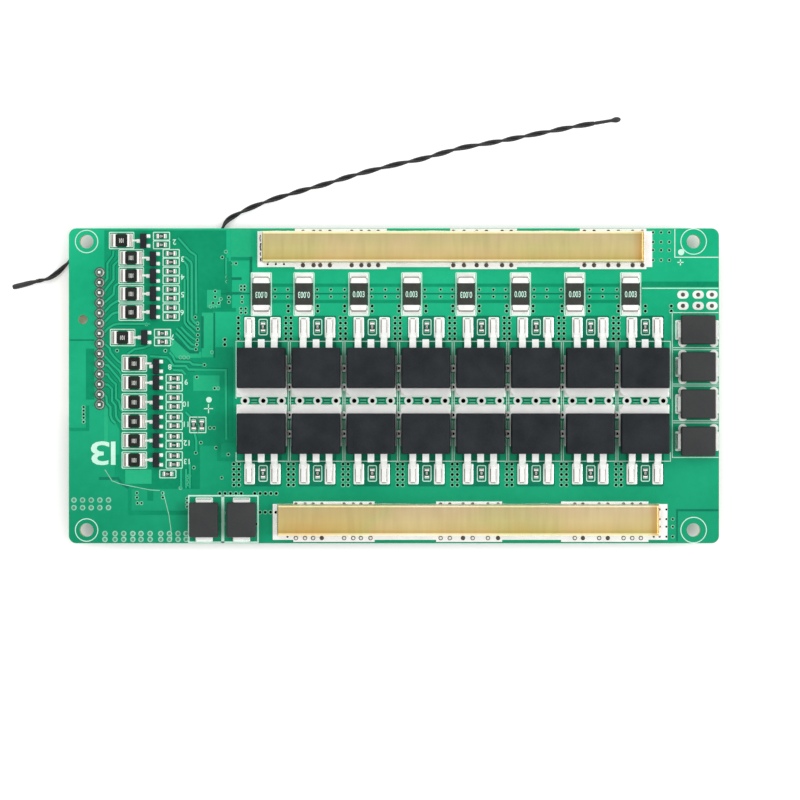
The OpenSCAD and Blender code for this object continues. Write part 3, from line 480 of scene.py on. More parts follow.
def boardHoles():
    # every round hole of the board as x, y, radius in millimetres, read from the rims on its top
    bm = bmesh.new()
    bm.from_mesh(frame["nodes"]["circuit_board"].data)
    bmesh.ops.remove_doubles(bm, verts=bm.verts, dist=1e-6)
    rim = {}
    for edge in bm.edges:
        if len(edge.link_faces) == 2 and min(v.co.z for v in edge.verts) > topZ - 1e-5:
            tilt = sorted(abs(f.normal.z) for f in edge.link_faces)
            if tilt[0] < 0.1 and tilt[1] > 0.9:
                for vertex in edge.verts:
                    rim.setdefault(vertex, []).append(edge)
    seen, holes = set(), []
    for first in rim:
        if first in seen:
            continue
        loop, stack = [], [first]
        seen.add(first)
        while stack:
            vertex = stack.pop()
            loop.append(vertex.co)
            for edge in rim[vertex]:
                other = edge.other_vert(vertex)
                if other not in seen:
                    seen.add(other)
                    stack.append(other)
        xs, ys = [c.x for c in loop], [c.y for c in loop]
        x, y = (min(xs) + max(xs)) / 2, (min(ys) + max(ys)) / 2
        radius = max(math.hypot(c.x - x, c.y - y) for c in loop)
        if radius < 0.003:
            holes.append((x / mm, y / mm, radius / mm))
    bm.free()
    return holes


def middleOf(box):
    # the middle of a solid's box in plan
    return (box[0] + box[3]) / 2, (box[1] + box[4]) / 2


def centreOf(node):
    # the middle of a node's box in plan, in millimetres
    a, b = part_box(node)
    return (a.x + b.x) / 2 / mm, (a.y + b.y) / 2 / mm


def atHeight(points, z):
    return [(px, py, z) for px, py in points]


def rectangle(x0, y0, x1, y1):
    return [(x0, y0), (x1, y0), (x1, y1), (x0, y1)]


def ringPoints(x, y, radius, count):
    return [(x + radius * math.cos(2 * math.pi * k / count),
             y + radius * math.sin(2 * math.pi * k / count)) for k in range(count)]


def roundedPoints(x0, y0, x1, y1, radius, steps=4):
    # corner arcs of a rounded rectangle, counter-clockwise
    radius = min(radius, (x1 - x0) / 2 - 0.001, (y1 - y0) / 2 - 0.001)
    points = []
    for cx, cy, turn in ((x1 - radius, y1 - radius, 0), (x0 + radius, y1 - radius, 90),
                         (x0 + radius, y0 + radius, 180), (x1 - radius, y0 + radius, 270)):
        for k in range(steps + 1):
            a = math.radians(turn + 90 * k / steps)
            points.append((cx + radius * math.cos(a), cy + radius * math.sin(a)))
    return points


def addRings(bm, rings, closeStart=True, closeEnd=True):
    # skins a stack of rings with the same number of points; points are in millimetres
    made = [[bm.verts.new((p[0] * mm, p[1] * mm, p[2] * mm)) for p in ring] for ring in rings]
    count = len(made[0])
    for a, b in zip(made, made[1:]):
        for k in range(count):
            bm.faces.new((a[k], a[(k + 1) % count], b[(k + 1) % count], b[k]))
    if closeStart:
        bm.faces.new(made[0])
    if closeEnd:
        bm.faces.new(made[-1])


def addPad(bm, x0, y0, x1, y1, z, height=0.07, radius=0.2):
    # a tinned pad with a gently crowned surface
    inset = min(0.22, (x1 - x0) * 0.3, (y1 - y0) * 0.3)
    rings = []
    for rise, step in ((-0.01, 0), (height * 0.5, 0.01), (height * 0.9, inset * 0.5), (height, inset)):
        rings.append(atHeight(roundedPoints(x0 + step, y0 + step, x1 - step, y1 - step, radius), z + rise))
    addRings(bm, rings)


def addSlab(bm, x0, y0, x1, y1, z0, z1):
    corners = [(x1, y1), (x0, y1), (x0, y0), (x1, y0)]
    addRings(bm, [atHeight(corners, z) for z in (z0, z1)])


def addStrip(bm, points, width, z, thickness=0.012):
    # a flat printed or etched line along some points, mitred at its bends
    left, right = [], []
    for i, p in enumerate(points):
        before = Vector(points[max(i - 1, 0)])
        after = Vector(points[min(i + 1, len(points) - 1)])
        here = Vector(p)
        into = (here - before).normalized() if i else (after - here).normalized()
        out = (after - here).normalized() if i < len(points) - 1 else into
        side = Vector((-(into + out).y, (into + out).x)).normalized()
        reach = width / 2 / max(0.4, abs(side.dot(Vector((-out.y, out.x)))))
        left.append(here + side * reach)
        right.append(here - side * reach)
    outline = left + right[::-1]
    low = [bm.verts.new((p.x * mm, p.y * mm, z * mm)) for p in outline]
    high = [bm.verts.new((p.x * mm, p.y * mm, (z + thickness) * mm)) for p in outline]
    count, run = len(outline), len(points)
    for i in range(run - 1):
        bm.faces.new((high[i], high[i + 1], high[count - 2 - i], high[count - 1 - i]))
    for k in range(count):
        bm.faces.new((low[k], low[(k + 1) % count], high[(k + 1) % count], high[k]))


def addFrame(bm, outer, inner, z, thickness=0.012):
    # a flat printed band between two outlines
    addRings(bm, [atHeight(outer, z), atHeight(outer, z + thickness), atHeight(inner, z + thickness),
                  atHeight(inner, z)], False, False)


def addOutline(bm, x0, y0, x1, y1, width, z, radius=0.3):
    # a printed frame with round corners
    outer = roundedPoints(x0, y0, x1, y1, radius)
    inner = roundedPoints(x0 + width, y0 + width, x1 - width, y1 - width, max(radius - width, 0.05))
    addFrame(bm, outer, inner, z)


def addRound(bm, x, y, profile, count=20, closeStart=True, closeEnd=True):
    # a body of revolution standing on the board; profile holds radius and height pairs
    addRings(bm, [atHeight(ringPoints(x, y, max(r, 0.001), count), z) for r, z in profile],
             closeStart, closeEnd)


def addMoulded(bm, box, draft, parting, edge, corner):
    # a moulded body: it leans in from its parting line, with soft upper and lower edges
    x0, y0, z0, x1, y1, z1 = box
    span = max(z1 - parting, parting - z0, 0.001)
    levels = [(z0, edge * 0.6), (z0 + edge * 0.6, 0), (parting - 0.01, 0), (parting + 0.01, 0),
              (z1 - edge, 0), (z1 - edge * 0.45, edge * 0.16), (z1 - edge * 0.12, edge * 0.55), (z1, edge)]
    rings = []
    for z, extra in levels:
        inset = draft * abs(z - parting) / span + extra
        rings.append(atHeight(roundedPoints(x0 + inset, y0 + inset, x1 - inset, y1 - inset,
                                            corner + extra), z))
    addRings(bm, rings)


def insideOutline(outline, x, y):
    hit = False
    for (ax, ay), (bx, by) in zip(outline, outline[1:] + outline[:1]):
        if (ay > y) != (by > y) and x < ax + (y - ay) / (by - ay) * (bx - ax):
            hit = not hit
    return hit


def edgeDistance(outline, x, y):
    best = 1e9
    for (ax, ay), (bx, by) in zip(outline, outline[1:] + outline[:1]):
        dx, dy = bx - ax, by - ay
        t = max(0, min(1, ((x - ax) * dx + (y - ay) * dy) / (dx * dx + dy * dy)))
        best = min(best, math.hypot(x - ax - t * dx, y - ay - t * dy))
    return best


holes = boardHoles()
print("board holes found:", len(holes))


def bakedMesh(holder):
    # the final mesh of a curve or text object, which is then removed
    bpy.context.view_layer.update()
    mesh = bpy.data.meshes.new_from_object(holder.evaluated_get(bpy.context.evaluated_depsgraph_get()))
    mesh.transform(holder.matrix_world)
    bpy.data.objects.remove(holder)
    return mesh


def sheetMesh(outlines, z, thickness=0.01):
    # flat areas of one layer, with every hole of the board that lies inside one cut out of it
    sheet = bpy.data.curves.new("sheet", "CURVE")
    sheet.dimensions, sheet.fill_mode = "2D", "BOTH"
    sheet.extrude = thickness / 2 * mm

    def addLoop(points):
        spline = sheet.splines.new("POLY")
        spline.points.add(len(points) - 1)
        for point, (px, py) in zip(spline.points, points):
            point.co = (px * mm, py * mm, 0, 1)
        spline.use_cyclic_u = True

    for outline in outlines:
        addLoop(outline)
        for x, y, radius in holes:
            if insideOutline(outline, x, y) and edgeDistance(outline, x, y) > radius + 0.03:
                addLoop(ringPoints(x, y, radius, 16)[::-1])
    holder = bpy.data.objects.new("sheet", sheet)
    scene.collection.objects.link(holder)
    holder.location.z = (z + thickness / 2) * mm
    return bakedMesh(holder)


def addMesh(bm, mesh):
    bm.from_mesh(mesh)
    bpy.data.meshes.remove(mesh)


def addDigits(bm, words, x, y, size, z, turn=180, stretch=1.0, thickness=0.012):
    # plain printed figures, centred on a point
    text = bpy.data.curves.new("figures", "FONT")
    text.body, text.size = words, size * mm
    text.align_x, text.align_y = "CENTER", "CENTER"
    text.extrude = thickness / 2 * mm
    text.resolution_u = 3
    text.offset = 0.012 * size * mm
    holder = bpy.data.objects.new("figures", text)
    scene.collection.objects.link(holder)
    holder.location = (x * mm, y * mm, (z + thickness / 2) * mm)
    holder.rotation_euler.z = math.radians(turn)
    holder.scale.x = stretch
    addMesh(bm, bakedMesh(holder))


top = topZ / mm
under = underZ / mm

# Sensor leads

leadPlan = {"diameter": 1.1, "strand": 0.54, "twist": 9.8, "step": 0.35, "sides": 10, "low": 0.56,
            "wander": 40}
low = leadPlan["low"]
longRoute = [(-33.4, 25.9, 4.8), (-33.4, 25.95, 4.1), (-33.5, 26.4, 3.2), (-33.7, 27.4, 2.3),
             (-34, 28.7, 1.5), (-34.2, 30, 0.95), (-34, 31.5, 0.65), (-33.1, 32.9, low),
             (-31.4, 34, low), (-29.2, 35.1, low), (-26.8, 36.1, low), (-24, 37.1, low),
             (-20.8, 38.1, low), (-17.4, 39.1, low), (-13.7, 40.1, low), (-9.9, 41.3, low),
             (-6.1, 42.4, low), (-2.2, 43.4, low), (1.6, 44.3, low), (5.4, 45.1, low),
             (9.3, 46.2, low), (13.3, 47.3, low), (17.3, 48, low), (21.2, 48.7, low),
             (24.8, 49.4, low), (28.3, 50.1, low), (31.5, 50.7, low), (34.5, 51.3, low),
             (37.3, 51.8, low), (39.8, 52.2, low)]
shortRoute = [(-31.5, 24.2, 4.8), (-31.6, 24.2, 4.1), (-32.1, 24.2, 3.1), (-33.1, 24.25, 2.1),
              (-34.4, 24.4, 1.3), (-36, 24.6, 0.8), (-38, 24.9, low), (-41, 25.4, low),
              (-44, 25.9, low), (-47, 26.3, low), (-50, 26.6, low), (-53, 26.8, low),
              (-56, 26.9, low), (-58.8, 26.9, low), (-61.2, 26.6, low), (-63.2, 25.8, low),
              (-65, 24.3, low), (-66.8, 22.6, low), (-68.6, 21.4, low), (-70.6, 20.9, low)]


def smoothRoute(route, step):
    # the route as one smooth curve, sampled about every step
    points = [Vector(p) for p in route]
    out = []
    for i in range(len(points) - 1):
        p0, p1 = points[max(i - 1, 0)], points[i]
        p2, p3 = points[i + 1], points[min(i + 2, len(points) - 1)]
        count = max(2, round((p2 - p1).length / step))
        for k in range(count):
            t = k / count
            out.append(0.5 * (2 * p1 + (p2 - p0) * t + (2 * p0 - 5 * p1 + 4 * p2 - p3) * t * t
                              + (3 * p1 - p0 - 3 * p2 + p3) * t ** 3))
    out.append(points[-1])
    return out


def routeLength(points):
    return sum((b - a).length for a, b in zip(points, points[1:]))


def twistedPair(name, route, material, seed):
    # two insulated strands wound round each other along the route
    line = smoothRoute(route, leadPlan["step"])
    radius, sides = leadPlan["strand"] / 2, leadPlan["sides"]
    bm = bmesh.new()
    for strand in (0, 1):
        rings, travelled = [], 0.0
        for i, p in enumerate(line):
            if i:
                travelled += (p - line[i - 1]).length
            along = (line[min(i + 1, len(line) - 1)] - line[max(i - 1, 0)]).normalized()
            side = Vector((-along.y, along.x, 0))
            side = side.normalized() if side.length > 0.05 else Vector((1, 0, 0))
            up = along.cross(side)
            wander = leadPlan["wander"] * noise.noise(Vector((travelled * 0.11, seed, 0)))
            angle = math.radians(180 * strand + 360 * travelled / leadPlan["twist"] + wander)
            centre = p + (side * math.cos(angle) + up * math.sin(angle)) * (radius * 0.98)
            rings.append([centre + radius * (side * math.cos(a) + up * math.sin(a)) for a in
                          [2 * math.pi * k / sides for k in range(sides)]])
        addRings(bm, rings)
    return addPiece(name, bm, material), line


def turnedPiece(name, route, profile, material, sides=16, waves=0.0):
    # a turned piece carried on from the end of a route; profile holds distance and radius pairs
    end, before = Vector(route[-1]), Vector(route[-2])
    along = (end - before).normalized()
    side = Vector((-along.y, along.x, 0)).normalized()
    up = along.cross(side)
    bm = bmesh.new()
    rings = []
    for distance, radius in profile:
        ring = []
        for k in range(sides):
            a = 2 * math.pi * k / sides
            ripple = abs(noise.noise(Vector((distance * 1.3, math.cos(a), math.sin(a)))))
            r = radius * (1 - waves * ripple)
            ring.append(end + along * distance + r * (side * math.cos(a) + up * math.sin(a)))
        rings.append(ring)
    addRings(bm, rings)
    return addPiece(name, bm, material)


longPair, longLine = twistedPair("longTwistedLead", longRoute, insulation, 1.7)
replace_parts(longPair, "long_sensor_lead")
longTip = turnedPiece("longSensorBead", longRoute, [
    (0.0, 0.3), (0.4, 0.38), (1.0, 0.36), (2.2, 0.34), (3.4, 0.34), (3.7, 0.4), (4.0, 0.52),
    (4.35, 0.58), (4.7, 0.56), (5.05, 0.45), (5.3, 0.25), (5.38, 0.05)], sleeveBlack, waves=0.12)
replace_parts(longTip, "long_sensor_tip")
shortPair, shortLine = twistedPair("shortTwistedLead", shortRoute, insulation, 4.2)
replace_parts(shortPair, "short_sensor_lead")
shortTip = turnedPiece("shortSensorSleeve", shortRoute, [
    (0.0, 0.32), (0.25, 0.44), (0.6, 0.36), (1.0, 0.4), (1.5, 0.48), (2.4, 0.53), (3.6, 0.55),
    (4.6, 0.54), (5.1, 0.5), (5.34, 0.38), (5.39, 0.1)], sleeveBlack, waves=0.1)
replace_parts(shortTip, "short_sensor_tip")
print("sensor leads laid, long", round(routeLength(longLine), 1), "short", round(routeLength(shortLine), 1))

# Board: copper, mask and plated holes

dress("circuit_board", maskPour)
copperPlan = {"level": 0.012, "sheet": 0.01, "track": 0.42, "trackGap": 0.8, "scuff": 0.13,
              "wideGap": 0.55, "border": 0.5, "gapStep": 0.0004, "trackHeight": 0.02, "scuffHeight": 0.008}
# how many levels each layer lies above the board, the lowest first
layers = {"laminate": 1, "trackGap": 1.8, "track": 2, "gap": 2.2, "border": 2.6, "scuff": 3.4}
# areas where the mask lies on bare laminate, a tone darker than over the copper
bareAreas = [
    [(-57, 30.6), (-33, 30.6), (-33, 24.4), (-31.9, 24.4), (-31.9, 14.6), (-35.6, 14.6),
     (-35.6, 7.6), (-31.6, 7.6), (-31.6, -9.9), (-34.3, -11.8), (-38.2, -11.8), (-38.2, -20.3),
     (-52, -20.3), (-54, -18.6), (-54, -8.7), (-57, -3.2), (-57, 22.8)]]
# clear strips between the copper areas: x0, y0, x1, y1
gaps = [(-24.6, 19.5, 48.8, 20.1), (-24.6, 18, 48.8, 18.25), (-24.6, 16.3, 48.8, 16.9),
        (48.8, 19.5, 63.9, 20.5), (-63.9, 8.9, -59, 9.1), (-60.6, -2.7, -59, 7.3),
        (-60.6, -8.9, -60, -3.9), (-63.9, -8.9, -60, -8.3), (-54.9, -18.5, -54.1, -13.6),
        (-52.3, -25.2, -51.7, -20.1), (-52.3, -25.4, -40.6, -24.6), (-48.5, -22.6, -47.4, -20.3),
        (-35.5, 5.5, -35.2, 14.4), (-39.2, 2.2, -33.3, 2.9), (-34.2, -10.2, -33.3, 2.9),
        (-34.2, -11.2, -31.2, -10.2), (-34.8, -14.7, -34.1, -11.7), (-34.8, -14.8, -31.2, -14.1),
        (-32.1, 24.7, -28.1, 25.3), (-35.8, 14.6, -31.1, 15.3), (-28.4, 14.2, -27.9, 25.4),
        (-32.9, 19.5, -32, 24.5), (-37.4, 19, -32, 19.6), (-34, 18, -28.4, 18.3),
        (55.6, -24.7, 63.9, -24.3), (55.6, -30.6, 55.9, -24.3), (-58, -18.5, -54.2, -18)]
# copper islands that show lighter: x0, y0, x1, y1
islands = [(-39.5, -1, -34.35, 2.05), (-37.8, 5.6, -35.6, 14.4), (-32.1, 25.4, -28.1, 30.9),
           (-36.8, 15.4, -34.1, 18.9), (-52.9, -19.3, -47.7, -16.5), (-57.1, -11.5, -56.3, -4.4)]
slantedIslands = [[(-43.5, 9.3), (-44.1, 7.1), (-42.9, 5.5), (-37.9, 5.5), (-37.9, 6.7), (-40.6, 6.7)]]
# dark borders round copper areas that run at a slant
borders = [[(-43.1, 9.3), (-40.9, 7.2), (-40.1, 6.6), (-38.4, 6.6)], [(-37.7, 7.4), (-37.7, 13.7)],
           [(-54.5, -18), (-53.6, -19.3), (-52.2, -20.1)], [(-33, 21.1), (-30, 21.1)],
           [(-33, 18.2), (-30, 18.2)]]
# a pale scuff over the mask near the front left corner
scuffs = [[(-56.9, -16.5), (-55.5, -18.7), (-53.9, -19.3), (-51, -19.9), (-48, -20.5), (-46.1, -20.6)],
          [(-45.4, -20.9), (-44.9, -23), (-44.3, -25.4), (-43.9, -28.3), (-43.7, -30.3)]]
# etched tracks that show as lighter lines
tracks = [
    [(-57, 20.4), (-56.4, 21.1), (-56.4, 24.1), (-55.3, 25.6), (-55.2, 26.6)],
    [(-57, 18.5), (-56.3, 19.5), (-55.2, 20.9), (-55.2, 23.7), (-54.7, 24.2), (-54.1, 24.8)],
    [(-57, 16.4), (-56.5, 16.8), (-55.2, 18), (-55, 19.6), (-54.4, 20.1), (-54, 20.3)],
    [(-57, 14.5), (-56.7, 14.8), (-55.8, 15.8), (-55.1, 16.3), (-54.2, 16.8)],
    [(-57, 12.5), (-55.6, 14), (-55.1, 14.3), (-54.2, 14.5)],
    [(-57, 10.5), (-56.3, 11.3), (-55.2, 12), (-54.2, 12.2), (-48, 12.2)],
    [(-56.8, 8.2), (-55.9, 7.3), (-55.8, 6.6), (-55, 5.6), (-54.1, 4.7), (-53.7, 4.5)],
    [(-57, 5.9), (-55.3, 4.1), (-54.1, 3), (-53.7, 2.3)],
    [(-56.9, 4.1), (-56.3, 4), (-55.9, 3.5), (-54.8, 2.2), (-54.1, 1.4), (-53.8, 0.7)],
    [(-56.9, 2.3), (-56.3, 2.2), (-56, 1.6), (-55.3, 0.8), (-54.7, 0.3), (-54.7, -2.5), (-54.1, -3.1),
     (-53.8, -4.6), (-53.4, -5.1)],
    [(-56.9, 0.3), (-56.3, 0.2), (-55.5, -0.6), (-55.5, -3), (-54.8, -3.9), (-54.7, -6), (-54.4, -6.6),
     (-53.8, -7.2)],
    [(-56.9, -1.8), (-56.6, -2.2), (-56.5, -3.4), (-55.8, -4.2), (-55.8, -5.8), (-55.5, -6.7), (-54.8, -7.4)],
    [(-42.5, 29.1), (-41.3, 27.8), (-40.1, 26.4), (-39.3, 25.9), (-39, 25.6), (-38.9, 14.2)],
    [(-41.1, 25.4), (-39.9, 24.3), (-39.8, 23.8), (-39.8, 13.2), (-39.2, 12.4), (-38.7, 12.3)],
    [(-41.3, 24.5), (-40.7, 23.7), (-40.6, 22.9), (-40.6, 12.8), (-40.1, 12.2), (-39, 11.3)],
    [(-41.2, 21), (-41.2, 12.5), (-40.7, 11.7), (-39.9, 11), (-39.1, 10.2)],
    [(-41.9, 11.6), (-40.9, 10.5), (-39.8, 9.5), (-39.2, 9.1)],
    [(-42.8, 11.3), (-41.9, 10.4), (-40.9, 9.3), (-39.8, 8.2), (-39.3, 8)],
    [(-43, 10.4), (-41.9, 9.3), (-40.9, 8.1), (-40.1, 7.3), (-39.3, 7.2)],
    [(-44.2, 6.6), (-43.5, 5.8), (-43.1, 4.8), (-40.2, 4.7), (-39.6, 4.2), (-37.8, 4.1)],
    [(-48, 5.8), (-44.7, 5.6), (-44.1, 5.1), (-43.4, 3.9), (-41, 3.9), (-40.4, 3.2), (-33.1, 3.1),
     (-33, -10.6)],
    [(-43.5, 3.1), (-41.7, 3), (-41, 2.2)], [(-52.4, 6.3), (-51.1, 7.2), (-49.2, 7.5), (-48, 8)],
    [(-41, -5.2), (-38.4, -7.8), (-38.4, -9)], [(-40, -6), (-38.9, -10.8), (-38.9, -13)],
    [(-41.9, -16.4), (-41.9, -20.2)], [(-40.9, -16.4), (-40.9, -20.2)], [(-40.2, -15), (-40.2, -20.2)],
    [(-33, 25.2), (-33, 21.9)]]


# bare laminate round the transistors' feet and the gate chips between them
bayPlan = {"left": 3.6, "right": 3.9, "rear": 6.3, "front": 6.4, "under": 0.2, "corner": 0.3}


def leadBays():
    bays = []
    for row in ("rear", "front"):
        for i in range(1, 9):
            middle = centreOf(f"mosfet_{row}_{i}")[0]
            a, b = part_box(f"mosfet_{row}_{i}")
            if row == "rear":
                near, far = b.y / mm - bayPlan["under"], b.y / mm + bayPlan["rear"]
            else:
                near, far = a.y / mm - bayPlan["front"], a.y / mm + bayPlan["under"]
            bays.append((middle - bayPlan["left"], near, middle + bayPlan["right"], far))
    return bays


def layerLevel(layer):
    return top + copperPlan["level"] * layers[layer]


def addGaps():
    # the strips between copper areas; the wide ones are paler, and each lies a little above the last
    narrow, wide, sheet = bmesh.new(), bmesh.new(), copperPlan["sheet"]
    for count, (x0, y0, x1, y1) in enumerate(gaps):
        target = wide if min(x1 - x0, y1 - y0) > copperPlan["wideGap"] else narrow
        level = layerLevel("gap") + count * copperPlan["gapStep"]
        addMesh(target, sheetMesh([rectangle(x0, y0, x1, y1)], level, sheet))
    for bay in leadBays():
        addMesh(narrow, sheetMesh([roundedPoints(*bay, bayPlan["corner"])], layerLevel("gap"), sheet))
    for line in borders:
        addStrip(narrow, line, copperPlan["border"], layerLevel("border"))
    addFlat("copperGaps", narrow, maskGap)
    addFlat("wideCopperGaps", wide, maskMid)


def addTracks():
    dark, pale = bmesh.new(), bmesh.new()
    for track in tracks:
        addStrip(dark, track, copperPlan["trackGap"], layerLevel("trackGap"))
        addStrip(pale, track, copperPlan["track"], layerLevel("track"), copperPlan["trackHeight"])
    for outline in [rectangle(*island) for island in islands] + slantedIslands:
        addMesh(pale, sheetMesh([outline], layerLevel("gap"), copperPlan["sheet"]))
    addFlat("trackGaps", dark, maskGap)
    addFlat("etchedTracks", pale, maskTrace)


def addCopper():
    bare, pale = bmesh.new(), bmesh.new()
    addMesh(bare, sheetMesh(bareAreas, layerLevel("laminate"), copperPlan["sheet"]))
    addFlat("maskOnLaminate", bare, maskMid)
    addGaps()
    addTracks()
    for line in scuffs:
        addStrip(pale, line, copperPlan["scuff"], layerLevel("scuff"), copperPlan["scuffHeight"])
    addFlat("paleScuff", pale, scuff)


addCopper()

rowsLow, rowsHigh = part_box("mosfet_front_1")[0] / mm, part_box("mosfet_rear_8")[1] / mm
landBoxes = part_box("rear_solder_land"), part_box("front_solder_land")
# radii that tell the kinds of holes apart: over, or within the slack of, the value
holeSizes = {"plain": 0.8, "strip": 0.44, "output": 0.41, "power": 0.28, "pin": 0.4, "bar": 0.375,
             "diode": 0.35, "slack": 0.012}
cappedPlan = {"leftOf": -40, "frontOf": -22, "openAt": -40.6, "openSpan": 0.3}  # capped vias, one column open


def holeKind(x, y, radius):
    if radius > holeSizes["plain"]:
        return "plain"
    if abs(radius - holeSizes["pin"]) < holeSizes["slack"]:
        return "pin"
    for kind in ("strip", "output"):
        if radius > holeSizes[kind]:
            return kind
    for kind in ("bar", "diode"):
        if abs(radius - holeSizes[kind]) < holeSizes["slack"]:
            return kind
    if any(a.x < x * mm < b.x and a.y < y * mm < b.y for a, b in landBoxes):
        return "land"
    if radius > holeSizes["power"]:
        if rowsLow.x < x < rowsHigh.x and rowsLow.y < y < rowsHigh.y:
            return "gap"
        corner = x < cappedPlan["leftOf"] and y < cappedPlan["frontOf"]
        return "filled" if corner and abs(x - cappedPlan["openAt"]) > cappedPlan["openSpan"] else "power"
    return "signal"


ringPlan = {"strip": 0.9, "output": 0.72, "diode": 0.9, "power": 0.46, "signal": 0.4,
            "gap": 0.74, "bar": 0.5, "land": 0.3, "pin": 0.8}
ringRise = {"strip": 0.06, "output": 0.06, "diode": 0.06, "gap": 0.06, "bar": 0.03, "land": 0.03,
            "power": 0.04, "signal": 0.04, "pin": 0.04}
platePlan = {"wall": 0.025, "lip": 0.05, "bevel": 0.03, "dip": 0.06, "sidesFrom": 0.34, "sides": 24,
             "smallSides": 16}


def addPlating():
    # a plated barrel with a ring on each face for every hole that has one; vias are plugged below. The
    # barrels and plugs are near black, a painted shade for the dark depth of the holes
    tinned, masked, plugs = bmesh.new(), bmesh.new(), bmesh.new()
    lip, bevel, dip = platePlan["lip"], platePlan["bevel"], platePlan["dip"]
    for x, y, radius in holes:
        kind = holeKind(x, y, radius)
        if kind in ("plain", "filled"):
            continue
        outer, bore = max(ringPlan[kind], radius + lip), radius - platePlan["wall"]
        crown = top + ringRise[kind]
        target = masked if kind in ("power", "signal") else tinned
        sides = platePlan["sides" if radius > platePlan["sidesFrom"] else "smallSides"]
        addRound(target, x, y, [(outer, top - 0.01), (outer - bevel, crown), (bore + lip, crown),
                                (bore, crown - dip)], sides, False, False)
        addRound(target, x, y, [(bore, under + 0.02), (bore + lip, under - 0.04),
                                (outer - bevel, under - 0.04), (outer, under + 0.01)], sides, False, False)
        addRound(plugs, x, y, [(bore, crown - dip), (bore, under + 0.02)], sides, False, False)
        if kind not in ("pin", "bar", "output"):
            addRound(plugs, x, y, [(bore, under + 0.2), (bore * 0.6, under + 0.26), (0.02, under + 0.28)],
                     sides, False, True)
    addPiece("tinnedHoleRings", tinned, padTin)
    addPiece("maskedViaRings", masked, maskRing)
    addPiece("paintedShadeBarrelsAndPlugs", plugs, holeShadeMask)


stripPlan = {"darkHalf": 0.8, "paleHalf": 0.55, "paleWidth": 0.16}
darkLines = [(0.45, 0.28), (-0.12, 0.26), (-0.75, 0.2)]  # distance from the strip's middle, and width


def addStripLines():
    # fine lines between the plated holes of the strip that divides the two rows
    dark, pale = bmesh.new(), bmesh.new()
    row = sorted((x, y) for x, y, radius in holes if holeKind(x, y, radius) == "strip")
    darkHalf, paleHalf = stripPlan["darkHalf"], stripPlan["paleHalf"]
    for (x0, y), (x1, _) in zip(row, row[1:]):
        middle = (x0 + x1) / 2
        for offset, width in darkLines:
            addStrip(dark, [(middle - darkHalf, y + offset), (middle + darkHalf, y + offset)], width,
                     layerLevel("gap"))
        for offset in (0.15, -0.42):
            addStrip(pale, [(middle - paleHalf, y + offset), (middle + paleHalf, y + offset)],
                     stripPlan["paleWidth"], layerLevel("gap"))
    addFlat("stripGapLines", dark, maskGap)
    addFlat("stripPaleLines", pale, maskRing)


addPlating()
addStripLines()
print("board dressed")

# Tinned pads and solder

padPlan = {"lift": 0.03, "chipHeight": 0.05, "chipCorner": 0.12, "inner": 0.26, "filletWidth": 0.96,
           "filletReach": 0.8}
tabPad = {"past": 0.32, "side": 0.15, "height": 0.09, "corner": 0.15, "widerThan": 5}
footPad = {"toe": 0.4, "heel": 3.7, "left": 0.9, "right": 1.15, "height": 0.12, "corner": 0.22,
           "below": 0.4, "filletBase": 0.1}
shuntPad = {"heel": 1.0, "toe": 0.95, "side": 0.25, "height": 0.09, "corner": 0.2, "filletBase": 0.08}
diodePad = {"right": 0.18, "left": 0.45, "front": 0.4, "heel": 0.6, "clampSide": 0.42, "inputSide": 0.2,
            "height": 0.08, "corner": 0.2, "filletHeight": 0.8, "filletBase": 0.06}
legPad = {"side": 0.15, "half": 0.36, "height": 0.05, "corner": 0.1}
bridgePad = {"from": 0.5, "to": 0.25, "half": 0.2, "height": 0.04, "corner": 0.1}


def wedge(bm, x, y, dx, dy, width, reach, height, base):
    # a hollow-faced solder fillet that leans on a terminal at x, y and runs out along dx, dy
    profile = [(0, height), (reach * 0.22, height * 0.55), (reach * 0.5, height * 0.25),
               (reach * 0.8, height * 0.08), (reach, 0.0)]
    rings = []
    for side in (-0.5, -0.42, 0.42, 0.5):
        drop = 0.6 if abs(side) == 0.5 else 1.0
        ring = [(x - dx * 0.04 - dy * side * width, y - dy * 0.04 + dx * side * width, base)]
        for out, rise in profile:
            ring.append((x + dx * out - dy * side * width, y + dy * out + dx * side * width,
                         base + 0.01 + rise * drop))
        ring.append((x + dx * reach - dy * side * width, y + dy * reach + dx * side * width, base))
        rings.append(ring)
    addRings(bm, rings)


def addChipPads(pads, fillets, node, over, side, rise):
    # pads and fillets at both ends of every chip in a node; over and side are what shows past it
    for box in solidBoxes(node):
        x0, y0, z0, x1, y1, z1 = box
        cx, cy = middleOf(box)
        flat = x1 - x0 > y1 - y0
        length, width = (x1 - x0, y1 - y0) if flat else (y1 - y0, x1 - x0)
        reach = length / 2 + over
        inner = length * padPlan["inner"]
        half = width / 2 + side
        base = top + padPlan["lift"]
        for end in (-1, 1):
            a, b = sorted((end * inner, end * reach))
            if flat:
                pad, tip, way = (cx + a, cy - half, cx + b, cy + half), (cx + end * length / 2, cy), (end, 0)
            else:
                pad, tip, way = (cx - half, cy + a, cx + half, cy + b), (cx, cy + end * length / 2), (0, end)
            addPad(pads, *pad, base, padPlan["chipHeight"], padPlan["chipCorner"])
            wedge(fillets, *tip, *way, width * padPlan["filletWidth"], over * padPlan["filletReach"],
                  (z1 - z0) * rise, base + 0.04)


